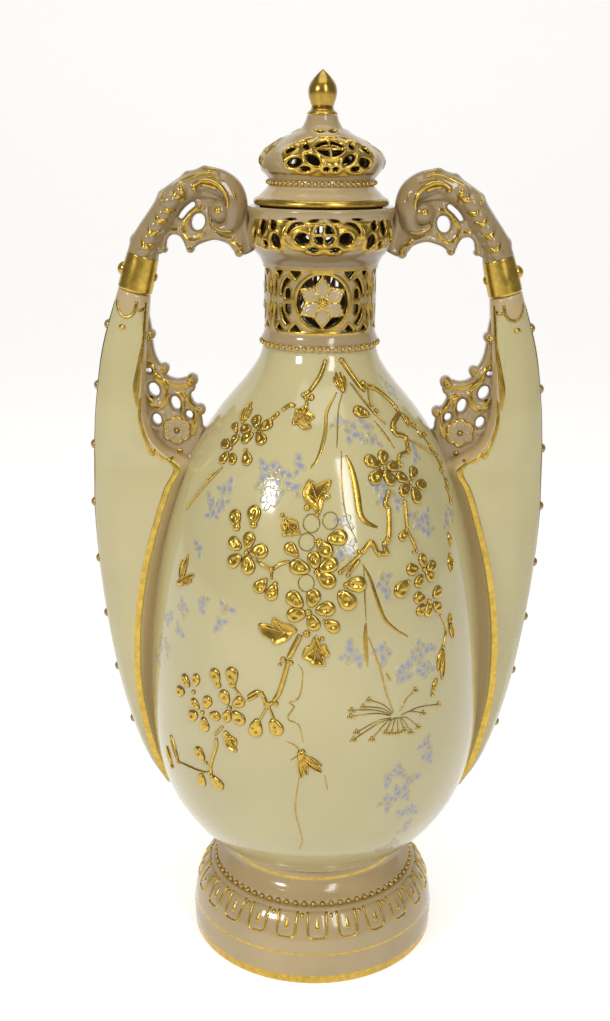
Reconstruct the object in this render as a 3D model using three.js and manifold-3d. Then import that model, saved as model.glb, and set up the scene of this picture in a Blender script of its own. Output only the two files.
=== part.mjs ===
// Lidded two-handled porcelain vase, in millimetres, +Z up.
// The origin is the centre of the foot's underside, and the handles lie along +X and -X.
// The vase is one firing of separately cast parts: a foot, an egg-shaped body, a pierced neck,
// a pierced gallery round the mouth, and two handles. The pierced cover lifts off.
import * as THREE from 'three';
import { mergeVertices } from 'three/addons/utils/BufferGeometryUtils.js';
import Module from 'manifold-3d';

const wasm = await Module();
wasm.setup();

// Clearances.
const SEAM = 0.3;             // gap where a part is trimmed to the shape of its neighbour
const LID_SEAT = 0.2;         // glaze to glaze under the cover's rim
const LID_PLAY = 0.6;         // radial play of the cover's locating ring in the mouth

// Heights of the vase's parts, from the foot up.
const DRUM_H = 10.0;
const LAPPET_H = 21.3;
const FOOT_BEAD_H = 2.8;
const COVE_H = 9.9;
const BELLY_H = 220.6;
const NECK_BEAD_H = 2.8;
const NECK_H = 30.1;
const GALLERY_H = 21.5;

// Radii of the vase.
const FOOT_R = 53.8;
const FOOT_WALL = 7.5;
const FOOT_EDGE = 0.6;        // the foot's lower edge is eased by this
const SHOULDER_RUN = 16.0;    // level half axis of the ellipse that the foot's shoulder follows
const SHOULDER_OVER = 2.7;    // its upright half axis beyond the lappets' height
const RECESS_DRUM = 4.0;      // height of the straight part of the hollow under the foot
const RECESS_RISE = 8.0;      // height above the drum up to which it narrows
const RECESS_DRAFT = 2.0;     // and how much it narrows above that
const FOOT_BEAD_SET = 1.4;    // bead row set in from the shoulder's top
const WAIST_R = 37.6;
const BELLY_R = 71.0;
const NECK_R = 22.3;
const GALLERY_R = 29.0;
const MOUTH_FLARE = 0.5;      // mouth beyond the gallery's swell

// Walls.
const BELLY_WALL = 4.0;
const NECK_WALL = 3.2;
const MOUTH_WALL = 4.9;       // the ledge that carries the cover
const COVER_WALL = 2.6;
const GALLERY_WALL = 3.0;
const MOUTH_LIP = 1.6;        // height of the lip round the mouth
const MOUTH_EDGE = 0.4;
const LEDGE_H = 4.6;          // height of the ledge's straight bore

// Beads: one row is a ring whose rim swells once per bead.
const FOOT_BEADS = 72;
const NECK_BEADS = 48;
const COVER_BEADS = 52;
const BEAD_RISE = 1.1;

// Foot ornament.
const LAPPETS = 24;
const LAPPET_W = 8.6;
const LAPPET_GAP = 1.8;       // plain clay between the lappets and the beads
const LAPPET_DROP = 10.0;     // height that a lappet spans
const LAPPET_STAND = 0.8;     // how far a lappet's face stands off the shoulder
const LAPPET_SINK = 1.5;      // and how deep its back lies in it
const FOOT_TURN = 2;          // degrees that the ornament is turned to the right of the front

// Pierced neck: star roundels with a lattice between them.
const ROUNDELS = 3;
const ROUNDEL_TURN = 2;       // degrees from the front, to the right
const ROUNDEL_R = 9.9;        // inside of the ring
const PETALS = 6;
const PETAL_NOTCH = 5.9;      // distance of the notch between two petals from the centre
const PANEL_H = 22.4;
const PANEL_UP = 5.5;         // plain wall under the panel
const NECK_FLARE = 0.9;       // flare of the neck at both ends
const NECK_FLARE_H = 2.5;

// Pierced gallery: one panel at the front and one at the back, between the handles.
const GALLERY_PANELS = 2;
const GALLERY_TURN = 2;
const MEDALLION_R = 4.3;
const MEDALLION_BAR = 1.1;
const PANEL_MIDDLE = 12.3;    // height of the medallion above the gallery's foot
const UNDERCUT = -24;         // lean of the wall under the panel's swell, from this far down
const UNDERCUT_FROM = -3.5;

// Cover.
const RIM_SET = 2.7;          // cover's rim set in from the mouth
const RIM_H = 3.0;
const SKIRT_H = 4.7;
const SKIRT_TOP_R = 20.9;
const COVER_BEAD_H = 2.4;
const DOME_R = 24.5;
const DOME_H = 23.8;
const DOME_NECK_R = 5.8;
const LOCATING_H = 6.0;
const LOCATING_WALL = 2.4;
const COVER_PANELS = 3;
const COVER_TURN = 8;
const BUD_R = 5.6;
const BUD_H = 13.7;
const COLLAR_R = 6.0;
const COLLAR_H = 3.2;
const BUD_NECK_R = 4.2;

// Handles.
const HORN_REACH = 22.6;      // outer spine beyond the body's widest radius
const HORN_HALF_DEPTH = 13.0;
const HORN_TIP_UP = 22.5;     // tip above the body's foot
const HORN_FREE = 0.68;       // share of the horn's height where it leaves the body
const HORN_ROOT = 3.0;        // depth of its root beyond the face it is luted to
const BAND_REACH = 46.3;      // centre of the gilt band beyond the gallery
const BAND_DROP = 33.9;       // bottom of the band below the mouth
const BAND_H = 14.4;
const BAND_LEAN = 3.8;        // how far the band leans in over its height
const BAND_R = 6.1;
const BAND_TAPER = 0.6;
const ARM_HALF_DEPTH = 7.0;
const STRAP_HALF_DEPTH = 2.6;
const BRACKET_HALF_DEPTH = 2.8;
const BRACKET_STAND = 10.8;   // rosette centre outside the body's wall
const BRACKET_LAP = 1.5;      // its back edge behind the horn's front edge, before trimming
const PLATE_EDGE = 0.8;       // bevel of the openwork plates
const ROSETTE_DROP = 91.2;    // rosette centre below the mouth
const ROSETTE_R = 5.4;
const ROSETTE_RISE = 2.0;
const ROSETTE_PETALS = 6;
const EYE_R = 3.4;
const KNOB_R = 2.1;
const KNOB_SET = 0.5;         // how far a knob's centre lies inside the spine
const KNOBS = 8;
const KNOB_DROP = 47.4;       // highest knob of the horn below the mouth
const KNOB_PITCH = 24.9;

// Sizes worked out from the ones above, heights from the foot up.
const SHOULDER_RISE = LAPPET_H + SHOULDER_OVER;
const BORE_R = NECK_R - NECK_WALL;
const MOUTH_R = GALLERY_R + MOUTH_FLARE;
const MOUTH_BORE = MOUTH_R - MOUTH_WALL;
const RIM_R = MOUTH_R - RIM_SET;
const Z_DRUM = DRUM_H;
const Z_FOOT_BEAD = Z_DRUM + LAPPET_H;
const Z_COVE = Z_FOOT_BEAD + FOOT_BEAD_H;
const Z_BELLY = Z_COVE + COVE_H;
const Z_NECK_BEAD = Z_BELLY + BELLY_H;
const Z_NECK = Z_NECK_BEAD + NECK_BEAD_H;
const Z_GALLERY = Z_NECK + NECK_H;
const Z_MOUTH = Z_GALLERY + GALLERY_H;
const Z_RIM = Z_MOUTH + LID_SEAT;
const Z_SKIRT = Z_RIM + RIM_H;
const Z_COVER_BEAD = Z_SKIRT + SKIRT_H;
const Z_DOME = Z_COVER_BEAD + COVER_BEAD_H;
const Z_COLLAR = Z_DOME + DOME_H;
const Z_BUD = Z_COLLAR + COLLAR_H;

const ROUND = 28;             // facets round the foot and the body
const ROUND_FINE = 20;        // facets round the neck, gallery and cover
const ROUND_SMALL = 16;       // facets round the finial
const FLATNESS = 0.12;        // cut surfaces lose facets that bend less than this

const BLUSH = { color: 0xb9a585, roughness: 0.22, metalness: 0 };
const IVORY = { color: 0xd0c49a, roughness: 0.18, metalness: 0 };
const GILT = { color: 0xc9a545, roughness: 0.28, metalness: 1 };

const lerp = (a, b, t) => a + (b - a) * t;
const rad = THREE.MathUtils.degToRad;

// A closed index with shared corners and no collapsed triangles, its faces turned outwards.
function closed(geometry) {
  const bare = geometry.clone();
  bare.deleteAttribute('normal');
  bare.deleteAttribute('uv');
  const merged = mergeVertices(bare, 1e-4);
  const index = merged.index.array;
  const corner = merged.attributes.position;
  const kept = [];
  const [a, b, c] = [new THREE.Vector3(), new THREE.Vector3(), new THREE.Vector3()];
  let volume = 0;
  for (let i = 0; i < index.length; i += 3) {
    const [p, q, r] = [index[i], index[i + 1], index[i + 2]];
    if (p === q || q === r || r === p) continue;
    kept.push(p, q, r);
    a.fromBufferAttribute(corner, p);
    b.fromBufferAttribute(corner, q);
    c.fromBufferAttribute(corner, r);
    volume += a.dot(b.cross(c));
  }
  if (volume < 0) kept.reverse();
  merged.setIndex(kept);
  return merged;
}

function solid(geometry) {
  const mesh = closed(geometry);
  return new wasm.Manifold(new wasm.Mesh({
    numProp: 3,
    vertProperties: Float32Array.from(mesh.attributes.position.array),
    triVerts: Uint32Array.from(mesh.index.array),
  }));
}

function geometryOf(manifold) {
  const mesh = manifold.getMesh();
  const geometry = new THREE.BufferGeometry();
  geometry.setAttribute('position', new THREE.BufferAttribute(Float32Array.from(mesh.vertProperties), 3));
  geometry.setIndex(Array.from(mesh.triVerts));
  return geometry;
}

const joined = (parts) => parts.reduce((sum, part) => sum.add(part));
const eased = (part) => part.asOriginal().simplify(FLATNESS);
const without = (part, cutters) => eased(part.subtract(joined(cutters)));

// A solid of revolution about Z from a closed [radius, height] profile.
function revolve(profile, segments) {
  const points = profile.map(([r, z]) => new THREE.Vector2(r, z));
  if (profile[0][0] > 0) points.push(points[0].clone());
  return solid(new THREE.LatheGeometry(points, segments).rotateX(Math.PI / 2));
}

// A solid through a list of rings with equal numbers of points, closed by a fan at each end.
function loft(rings) {
  const count = rings[0].length;
  const middle = (ring) => ring.reduce((sum, p) => sum.add(p), new THREE.Vector3()).divideScalar(count);
  const points = [...rings.flat(), middle(rings[0]), middle(rings.at(-1))];
  const index = [];
  rings.slice(1).forEach((ring, i) => {
    for (let k = 0; k < count; k += 1) {
      const next = (k + 1) % count;
      const [a, b, c, d] = [i * count + k, i * count + next, (i + 1) * count + next, (i + 1) * count + k];
      index.push(a, b, c, a, c, d);
    }
  });
  const last = (rings.length - 1) * count;
  for (let k = 0; k < count; k += 1) {
    const next = (k + 1) % count;
    index.push(points.length - 2, next, k, points.length - 1, last + k, last + next);
  }
  const geometry = new THREE.BufferGeometry().setFromPoints(points);
  geometry.setIndex(index);
  return solid(geometry);
}

// An outline in the handle's plane, from [x, z] points, thickened evenly to both sides of it.
function plate(outline, halfDepth, bevel) {
  const shape = new THREE.Shape(outline.map(([x, z]) => new THREE.Vector2(x, z)));
  const geometry = new THREE.ExtrudeGeometry(shape, {
    depth: 2 * (halfDepth - bevel), bevelEnabled: bevel > 0, bevelSize: bevel, bevelThickness: bevel,
    bevelOffset: -bevel, bevelSegments: 1,
  });
  return solid(geometry.translate(0, 0, bevel - halfDepth).rotateX(Math.PI / 2));
}

// An oval cutter right through a plate, turned by its angle in the handle's plane.
function ovalHole([x, z], halfWidth, halfHeight, degrees = 0) {
  const outline = Array.from({ length: 10 }, (_, k) => {
    const a = Math.PI * k / 5;
    return new THREE.Vector2(halfWidth * Math.cos(a), halfHeight * Math.sin(a));
  });
  const geometry = new THREE.ExtrudeGeometry(new THREE.Shape(outline), { depth: 20, bevelEnabled: false });
  geometry.translate(0, 0, -10).rotateZ(rad(degrees)).rotateX(Math.PI / 2);
  return solid(geometry.translate(x, 0, z));
}

function ball(x, y, z, radius) {
  return solid(new THREE.SphereGeometry(radius, 6, 3).rotateX(Math.PI / 2).translate(x, y, z));
}

const curveThrough = (points) => new THREE.CatmullRomCurve3(
  points.map(([x, z]) => new THREE.Vector3(x, 0, z)), false, 'centripetal');

// Body: an egg whose swell runs from the waist to the neck.
// Each pair is the share of the body's height, and of its swell beyond the neck.
const SWELL = [
  [0.027, 0.494], [0.073, 0.693], [0.141, 0.872], [0.232, 0.975], [0.336, 1.0], [0.482, 0.965],
  [0.618, 0.872], [0.732, 0.726], [0.812, 0.574], [0.880, 0.375], [0.935, 0.168], [0.973, 0.050],
];
const BELLY_TOP_R = NECK_R + 0.4;
const bellyWall = [
  [WAIST_R, Z_BELLY],
  ...SWELL.map(([h, s]) => [lerp(NECK_R, BELLY_R, s), Z_BELLY + h * BELLY_H]),
  [BELLY_TOP_R, Z_NECK_BEAD],
];

function bellyRadius(z) {
  const above = bellyWall.findIndex((point) => point[1] >= z);
  if (above < 1) return above === 0 ? WAIST_R : BELLY_TOP_R;
  const [[r0, z0], [r1, z1]] = [bellyWall[above - 1], bellyWall[above]];
  return lerp(r0, r1, (z - z0) / (z1 - z0));
}

const bellyInside = SWELL.filter((pair, i) => i % 2 === 1).map(([h, s]) => [
  Math.max(lerp(NECK_R, BELLY_R, s) - BELLY_WALL, BORE_R), Z_BELLY + h * BELLY_H]);
const floorZ = Z_BELLY + BELLY_WALL;
const belly = revolve([
  [0, Z_BELLY], ...bellyWall, [BORE_R, Z_NECK_BEAD],
  ...bellyInside.reverse(), [WAIST_R - BELLY_WALL, floorZ], [0, floorZ],
], ROUND);

// The body grown by the seam, to trim what is luted onto it.
const bellyTrim = revolve([
  [0, Z_BELLY - SEAM], ...bellyWall.map(([r, z]) => [r + SEAM, z]), [0, Z_NECK_BEAD],
], ROUND);

// Foot: a drum that rounds in under a bead row, with lappets, then a cove; open underneath.
const footInside = FOOT_R - FOOT_WALL;
const coveInside = WAIST_R - BELLY_WALL;
const onShoulder = (rise) => [
  FOOT_R - SHOULDER_RUN * (1 - Math.sqrt(1 - (rise / SHOULDER_RISE) ** 2)), Z_DRUM + rise];
const [shoulderTopR] = onShoulder(LAPPET_H);
const shoulder = [0, 0.3, 0.55, 0.8, 1].map((share) => onShoulder(share * LAPPET_H));
const drum = revolve([
  [footInside, 0], [FOOT_R - FOOT_EDGE, 0], [FOOT_R, FOOT_EDGE], ...shoulder,
  [coveInside, Z_FOOT_BEAD], [coveInside + RECESS_DRAFT, Z_DRUM + RECESS_RISE], [footInside, RECESS_DRUM],
], ROUND);

// A point off the shoulder: at a rise, lifted square to the surface.
function offShoulder(rise, lift) {
  const [r, z] = onShoulder(rise);
  const out = new THREE.Vector2(
    (r - FOOT_R + SHOULDER_RUN) / SHOULDER_RUN ** 2, rise / SHOULDER_RISE ** 2).normalize();
  return [r + lift * out.x, z + lift * out.y];
}

// One lappet: a raised tongue with a round end, laid down the shoulder; each row is its share of
// the way down and of the full width.
const LAPPET_ROWS = [[0, 0.92], [0.45, 1], [0.8, 0.96], [0.93, 0.78], [1, 0.5]];
function lappet() {
  return loft(LAPPET_ROWS.map(([down, width]) => {
    const rise = LAPPET_H - LAPPET_GAP - down * LAPPET_DROP;
    const half = width * LAPPET_W / 2;
    const [face, back] = [LAPPET_STAND, -LAPPET_SINK].map((lift) => offShoulder(rise, lift));
    return [[-half, face], [half, face], [half, back], [-half, back]]
      .map(([across, [r, z]]) => new THREE.Vector3(r, across, z));
  }));
}

const lappets = Array.from({ length: LAPPETS }, (_, i) => (
  lappet().rotate([0, 0, i * 360 / LAPPETS + FOOT_TURN])));
const footBase = eased(joined([drum, ...lappets]));

// A bead row: a ring whose rim is drawn out to a crown once per bead. Each bead has an inner
// edge, a valley before it and a crown, and its faces run on to the next bead's edge and valley.
function beadRow(radius, inside, z, height, beads) {
  const points = [];
  const index = [];
  const put = (r, step, h) => points.push(new THREE.Vector3(
    r * Math.cos(step * Math.PI / beads), r * Math.sin(step * Math.PI / beads), h));
  for (let i = 0; i < beads; i += 1) {
    put(inside, 2 * i, z);
    put(inside, 2 * i, z + height);
    put(radius, 2 * i, z);
    put(radius, 2 * i, z + height);
    put(radius + BEAD_RISE, 2 * i + 1, z + height / 2);
    const [inLow, inHigh, low, high, crown] = [0, 1, 2, 3, 4].map((k) => 5 * i + k);
    const next = 5 * ((i + 1) % beads);
    const [nextInLow, nextInHigh, nextLow, nextHigh] = [next, next + 1, next + 2, next + 3];
    index.push(low, nextLow, crown, nextLow, nextHigh, crown);
    index.push(nextHigh, high, crown, high, low, crown);
    index.push(inLow, nextLow, low, inLow, nextInLow, nextLow);
    index.push(inHigh, high, nextHigh, inHigh, nextHigh, nextInHigh);
    index.push(inLow, inHigh, nextInHigh, inLow, nextInHigh, nextInLow);
  }
  const geometry = new THREE.BufferGeometry().setFromPoints(points);
  geometry.setIndex(index);
  return solid(geometry);
}

const footBeadR = shoulderTopR - FOOT_BEAD_SET;
const footBeads = beadRow(footBeadR, coveInside, Z_FOOT_BEAD, FOOT_BEAD_H, FOOT_BEADS);
const COVE_SHAPE = [[0.5, 0.22], [0.85, 0.55]];  // shares of the way in to the waist, and up
const cove = revolve([
  [coveInside, Z_COVE], [footBeadR, Z_COVE],
  ...COVE_SHAPE.map(([inward, up]) => [lerp(footBeadR, WAIST_R, inward), Z_COVE + COVE_H * up]),
  [WAIST_R, Z_BELLY], [coveInside, Z_BELLY],
], ROUND);
const neckBeads = beadRow(NECK_R + NECK_FLARE, BORE_R, Z_NECK_BEAD, NECK_BEAD_H, NECK_BEADS);

// A cutter through a wall: an outline in mm around a point of it, given by its angle from the
// front, its radius and height, and how far the wall leans back from upright there.
function cutter(shape, degrees, radius, z, lean, depth) {
  const geometry = new THREE.ExtrudeGeometry(shape, { depth: 2 * depth, bevelEnabled: false });
  geometry.translate(0, 0, -depth).rotateX(Math.PI / 2 - rad(lean));
  geometry.translate(0, -radius, z).rotateZ(rad(degrees));
  return solid(geometry);
}

const outlineOf = (points) => new THREE.Shape(points.map(([u, v]) => new THREE.Vector2(u, v)));
const flipU = (points) => points.map(([u, v]) => [-u, v]);
const flipV = (points) => points.map(([u, v]) => [u, -v]);

// Neck: a straight collar, flared a little at both ends.
const neckShell = revolve([
  [BORE_R, Z_NECK], [NECK_R + NECK_FLARE, Z_NECK], [NECK_R, Z_NECK + NECK_FLARE_H],
  [NECK_R, Z_GALLERY - NECK_FLARE_H], [NECK_R + NECK_FLARE, Z_GALLERY], [BORE_R, Z_GALLERY],
], ROUND_FINE);
const panelZ = Z_NECK + PANEL_UP + PANEL_H / 2;
const onNeck = (outline, u, v, turn) => cutter(
  outlineOf(outline), turn + u * 180 / (Math.PI * NECK_R), NECK_R, panelZ + v, 0, NECK_WALL * 2);

// The gap between two petals, inside the roundel's ring.
const GAP_TURNS = [-23, -8, 8, 23];
const petalGap = (middle) => [[PETAL_NOTCH, 0], ...GAP_TURNS.map((turn) => [ROUNDEL_R, turn])]
  .map(([r, turn]) => [r * Math.cos(rad(middle + turn)), r * Math.sin(rad(middle + turn))]);
const mean = (values) => values.reduce((sum, value) => sum + value, 0) / values.length;

// Half of the lattice to one side of its middle, above its crossbar; [outline, u, v].
const HALF_PANEL = PANEL_H / 2;
const latticeHoles = [
  [[[-0.9, 2.8], [0.9, 2.8], [0.9, -1.9], [-0.9, -1.9]], 8.6, 3.2],
  [[[1.9, 2.4], [-1.9, 2.8], [-2.2, -5.2], [-0.6, -1.6]], 6.4, 6.2],
  [[[-1.7, 1.2], [1.7, 1.2], [-0.2, -1.6]], 3.7, HALF_PANEL - 1.6],
  [[[-2.0, 1.1], [2.3, 1.1], [-0.1, -1.5]], 12.2, HALF_PANEL - 1.3],
];
const vesica = [[0, 4.6], [1.25, 1.8], [1.15, -3.0], [-1.15, -3.0], [-1.25, 1.8]];

const neckCutters = [];
for (let i = 0; i < ROUNDELS; i += 1) {
  const turn = ROUNDEL_TURN + i * 360 / ROUNDELS;
  for (let k = 0; k < PETALS; k += 1) {
    const gap = petalGap(k * 360 / PETALS);
    const [midU, midV] = [0, 1].map((axis) => mean(gap.map((point) => point[axis])));
    neckCutters.push(onNeck(gap.map(([u, v]) => [u - midU, v - midV]), midU, midV, turn));
  }
  const between = turn + 180 / ROUNDELS;
  neckCutters.push(onNeck(vesica, 0, 4.2, between), onNeck(flipV(vesica), 0, -4.2, between));
  for (const [outline, u, v] of latticeHoles) {
    neckCutters.push(onNeck(outline, u, v, between), onNeck(flipU(outline), -u, v, between));
    neckCutters.push(onNeck(flipV(outline), u, -v, between));
    neckCutters.push(onNeck(flipU(flipV(outline)), -u, -v, between));
  }
}
const neckCollar = without(neckShell, neckCutters);

// Gallery: the bulging pierced ring that carries the mouth.
const GALLERY_SWELL = [       // share of the swell from the neck out, and of the height
  [0.21, 0.10], [0.76, 0.26], [0.985, 0.43], [1, 0.60], [0.94, 0.81],
];
const galleryWall = [
  [NECK_R + NECK_FLARE, Z_GALLERY],
  ...GALLERY_SWELL.map(([out, up]) => [lerp(NECK_R, GALLERY_R, out), Z_GALLERY + GALLERY_H * up]),
  [MOUTH_R, Z_MOUTH - MOUTH_LIP], [MOUTH_R - MOUTH_EDGE, Z_MOUTH],
];
const GALLERY_HOLLOW = [      // the same for the inside, from the bore out to the thinnest wall
  [1, 0.68], [1, 0.45], [0.32, 0.20],
];
const galleryShell = revolve([
  ...galleryWall, [MOUTH_BORE, Z_MOUTH], [MOUTH_BORE, Z_MOUTH - LEDGE_H],
  ...GALLERY_HOLLOW.map(([out, up]) => [
    lerp(BORE_R, GALLERY_R - GALLERY_WALL, out), Z_GALLERY + GALLERY_H * up]),
  [BORE_R, Z_GALLERY],
], ROUND_FINE);
const galleryTrim = revolve([
  [0, Z_NECK], [NECK_R + SEAM, Z_NECK], [NECK_R + SEAM, Z_GALLERY - NECK_FLARE_H],
  ...galleryWall.map(([r, z]) => [r + SEAM, z]), [0, Z_MOUTH + SEAM],
], ROUND_FINE);
const galleryMiddle = Z_GALLERY + PANEL_MIDDLE;
const onGallery = (outline, u, v, turn) => cutter(
  outlineOf(outline), turn + u * 180 / (Math.PI * GALLERY_R), GALLERY_R, galleryMiddle + v,
  v < UNDERCUT_FROM ? UNDERCUT : 0, 2 * NECK_WALL);
const quarter = [0, 1, 2, 3].map((k) => k * Math.PI / 6);
const medallionQuarter = [
  [MEDALLION_BAR / 2, MEDALLION_BAR / 2],
  ...quarter.map((a) => [
    Math.max((MEDALLION_R - 0.9) * Math.cos(a), MEDALLION_BAR / 2),
    Math.max((MEDALLION_R - 0.9) * Math.sin(a), MEDALLION_BAR / 2)]),
];
const oval = (halfWidth, halfHeight, tilt = 0) => Array.from({ length: 6 }, (_, i) => {
  const a = i * Math.PI / 3;
  const point = new THREE.Vector2(halfWidth * Math.cos(a), halfHeight * Math.sin(a));
  return point.rotateAround(new THREE.Vector2(), rad(tilt)).toArray();
});

// Holes to the right of the gallery's medallion; the left side mirrors them.
const galleryHoles = [
  [oval(2.3, 2.4), 8.6, -0.6],
  [[[-1.4, 1.3], [1.9, 0.2], [2.9, -3.4], [1.7, -2.4], [0.6, -0.3]], 11.2, 3.1],
  [oval(1.8, 1.0), 4.2, -5.3],
  [oval(1.9, 0.8), 4.4, 4.9],
  [oval(1.6, 0.8), 13.2, 5.3],
  [oval(2.2, 2.9, -28), 19.8, -2.0],
  [oval(1.3, 2.1), 21.6, 3.3],
  [oval(1.8, 2.7, 12), 27.6, 1.4],
  [oval(1.2, 1.2), 27.0, -3.4],
];
const galleryCutters = [];
for (let i = 0; i < GALLERY_PANELS; i += 1) {
  const turn = GALLERY_TURN + i * 360 / GALLERY_PANELS;
  for (const flip of [(p) => p, flipU, flipV, (p) => flipU(flipV(p))]) {
    galleryCutters.push(onGallery(flip(medallionQuarter), 0, 0, turn));
  }
  for (const [outline, u, v] of galleryHoles) {
    galleryCutters.push(onGallery(outline, u, v, turn), onGallery(flipU(outline), -u, v, turn));
  }
}
const gallery = without(galleryShell, galleryCutters);

// Cover: a gilt rim with its locating ring, a skirt, a bead row, a pierced dome and a bud.
const locatingR = MOUTH_BORE - LID_PLAY;
const coverInside = SKIRT_TOP_R - COVER_WALL;
const coverRim = revolve([
  [locatingR - LOCATING_WALL, Z_RIM - LOCATING_H], [locatingR, Z_RIM - LOCATING_H], [locatingR, Z_RIM],
  [RIM_R - 0.9, Z_RIM], [RIM_R, Z_RIM + RIM_H * 0.45], [RIM_R - 0.6, Z_SKIRT],
  [locatingR - LOCATING_WALL, Z_SKIRT],
], ROUND_FINE);
const coverSkirt = revolve([
  [locatingR - LOCATING_WALL, Z_SKIRT], [RIM_R - 1.2, Z_SKIRT],
  [lerp(SKIRT_TOP_R, RIM_R, 0.36), Z_SKIRT + SKIRT_H * 0.5], [SKIRT_TOP_R, Z_COVER_BEAD],
  [coverInside, Z_COVER_BEAD],
], ROUND_FINE);
const coverBeads = beadRow(SKIRT_TOP_R - 0.3, coverInside, Z_COVER_BEAD, COVER_BEAD_H, COVER_BEADS);
const domeWall = [
  [SKIRT_TOP_R, Z_DOME], [DOME_R - 1.0, Z_DOME + 3.7], [DOME_R, Z_DOME + 7.0], [DOME_R - 1.5, Z_DOME + 9.9],
  [DOME_R - 5.9, Z_DOME + 12.9], [lerp(DOME_NECK_R, DOME_R, 0.40), Z_DOME + 16.2],
  [DOME_NECK_R + 2.7, Z_DOME + 18.8], [DOME_NECK_R + 1.0, Z_DOME + 21.2], [DOME_NECK_R, Z_COLLAR],
];
const domeShell = revolve([
  ...domeWall, [0, Z_COLLAR], [0, Z_COLLAR - 5.5], [DOME_NECK_R, Z_COLLAR - 8.5],
  [DOME_R - 7.4, Z_DOME + 10.6], [DOME_R - COVER_WALL - 0.6, Z_DOME + 7.0], [coverInside, Z_DOME + 1.2],
  [coverInside, Z_DOME],
], ROUND_FINE);

// A hole in the dome, at its angle from the panel's middle and its height above the dome's foot.
const onDome = (outline, degrees, height, turn) => {
  const above = domeWall.findIndex((point) => point[1] >= Z_DOME + height);
  const [[r0, z0], [r1, z1]] = [domeWall[above - 1], domeWall[above]];
  const radius = lerp(r0, r1, (Z_DOME + height - z0) / (z1 - z0));
  const lean = THREE.MathUtils.radToDeg(Math.atan2(r0 - r1, z1 - z0));
  return cutter(outlineOf(outline), turn + degrees, radius, Z_DOME + height, lean, 4.5);
};
const domeHoles = [
  [[[-2.2, 1.4], [2.6, 1.2], [1.4, -0.9], [-2.2, -1.4]], 7.8, 10.3],
  [[[-1.6, 1.2], [1.2, 0.9], [2.0, -0.9], [-1.6, -0.9]], 7.4, 13.4],
  [oval(3.0, 1.5, 35), 20.5, 7.0],
  [[[-1.7, -0.8], [1.6, -0.8], [0.2, 1.2]], 23.5, 3.9],
  [oval(1.5, 1.8, 20), 27.0, 11.6],
  [oval(2.9, 2.4, -8), 36.0, 5.9],
  [oval(1.8, 2.0, 18), 42.5, 10.4],
  [oval(1.3, 1.0), 14.5, 17.4],
];
const domeCutters = [];
for (let i = 0; i < COVER_PANELS; i += 1) {
  const turn = COVER_TURN + i * 360 / COVER_PANELS;
  for (const [outline, degrees, height] of domeHoles) {
    domeCutters.push(onDome(outline, degrees, height, turn));
    domeCutters.push(onDome(flipU(outline), -degrees, height, turn));
  }
}
const dome = without(domeShell, domeCutters);
const finialCollar = revolve([
  [0, Z_COLLAR], [COLLAR_R, Z_COLLAR], [COLLAR_R, Z_COLLAR + COLLAR_H * 0.45], [BUD_NECK_R, Z_BUD],
  [0, Z_BUD],
], ROUND_SMALL);
const budSwell = [[0.1, 0.82], [0.25, 0.95], [0.42, 1.0], [0.6, 0.88], [0.78, 0.56], [0.92, 0.2]]
  .map(([height, share]) => [BUD_R * share, Z_BUD + BUD_H * height]);
const finialBud = revolve([
  [0, Z_BUD], [BUD_NECK_R, Z_BUD], ...budSwell, [0, Z_BUD + BUD_H],
], ROUND_SMALL);

// Handles, drawn for +X: the left one is the mirror image.
// Points here are [distance beyond the gallery's radius, height above the mouth].
const fromMouth = ([x, z]) => [GALLERY_R + x, Z_MOUTH + z];
const bandLow = fromMouth([BAND_REACH, -BAND_DROP]);
const bandHigh = [bandLow[0] - BAND_LEAN, bandLow[1] + BAND_H];

// A ring of points about a centre of the handle's plane, square to a direction in it.
function section(centre, along, halfWidth, halfDepth, sides) {
  const across = new THREE.Vector3(along.z, 0, -along.x).normalize();
  return Array.from({ length: sides }, (_, k) => {
    const a = 2 * Math.PI * k / sides;
    return centre.clone().addScaledVector(across, halfWidth * Math.cos(a))
      .add(new THREE.Vector3(0, halfDepth * Math.sin(a), 0));
  });
}

// A tapering limb along a curve; each size is [half width, half depth], spread evenly.
function limb(curve, sizes, steps, sides, grow = 0) {
  return loft(Array.from({ length: steps + 1 }, (_, i) => {
    const t = i / steps;
    const place = t * (sizes.length - 1);
    const low = Math.min(Math.floor(place), sizes.length - 2);
    const [w, d] = [0, 1].map((k) => lerp(sizes[low][k], sizes[low + 1][k], place - low) + grow);
    return section(curve.getPoint(t), curve.getTangent(t), w, d, sides);
  }));
}

// Gilt band: a plain ferrule between the horn and the arm.
const bandAxis = curveThrough([bandLow, bandHigh]);
const bandAlong = bandAxis.getTangent(0.5);
const bandShell = loft([[0, 0.5], [0.12, 0], [0.88, 0], [1, 0.5]].map(([t, ease]) => section(
  bandAxis.getPoint(t), bandAlong, BAND_R - BAND_TAPER * t - ease, BAND_R + 0.9 - BAND_TAPER * t, 12)));
const bandKnobs = [[0.55, 1], [0.4, -1]].map(([t, side]) => {
  const at = bandAxis.getPoint(t);
  return ball(at.x + side * BAND_R * bandAlong.z, 0, at.z - side * BAND_R * bandAlong.x, KNOB_R);
});
const giltBand = joined([bandShell, ...bandKnobs]);

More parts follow.
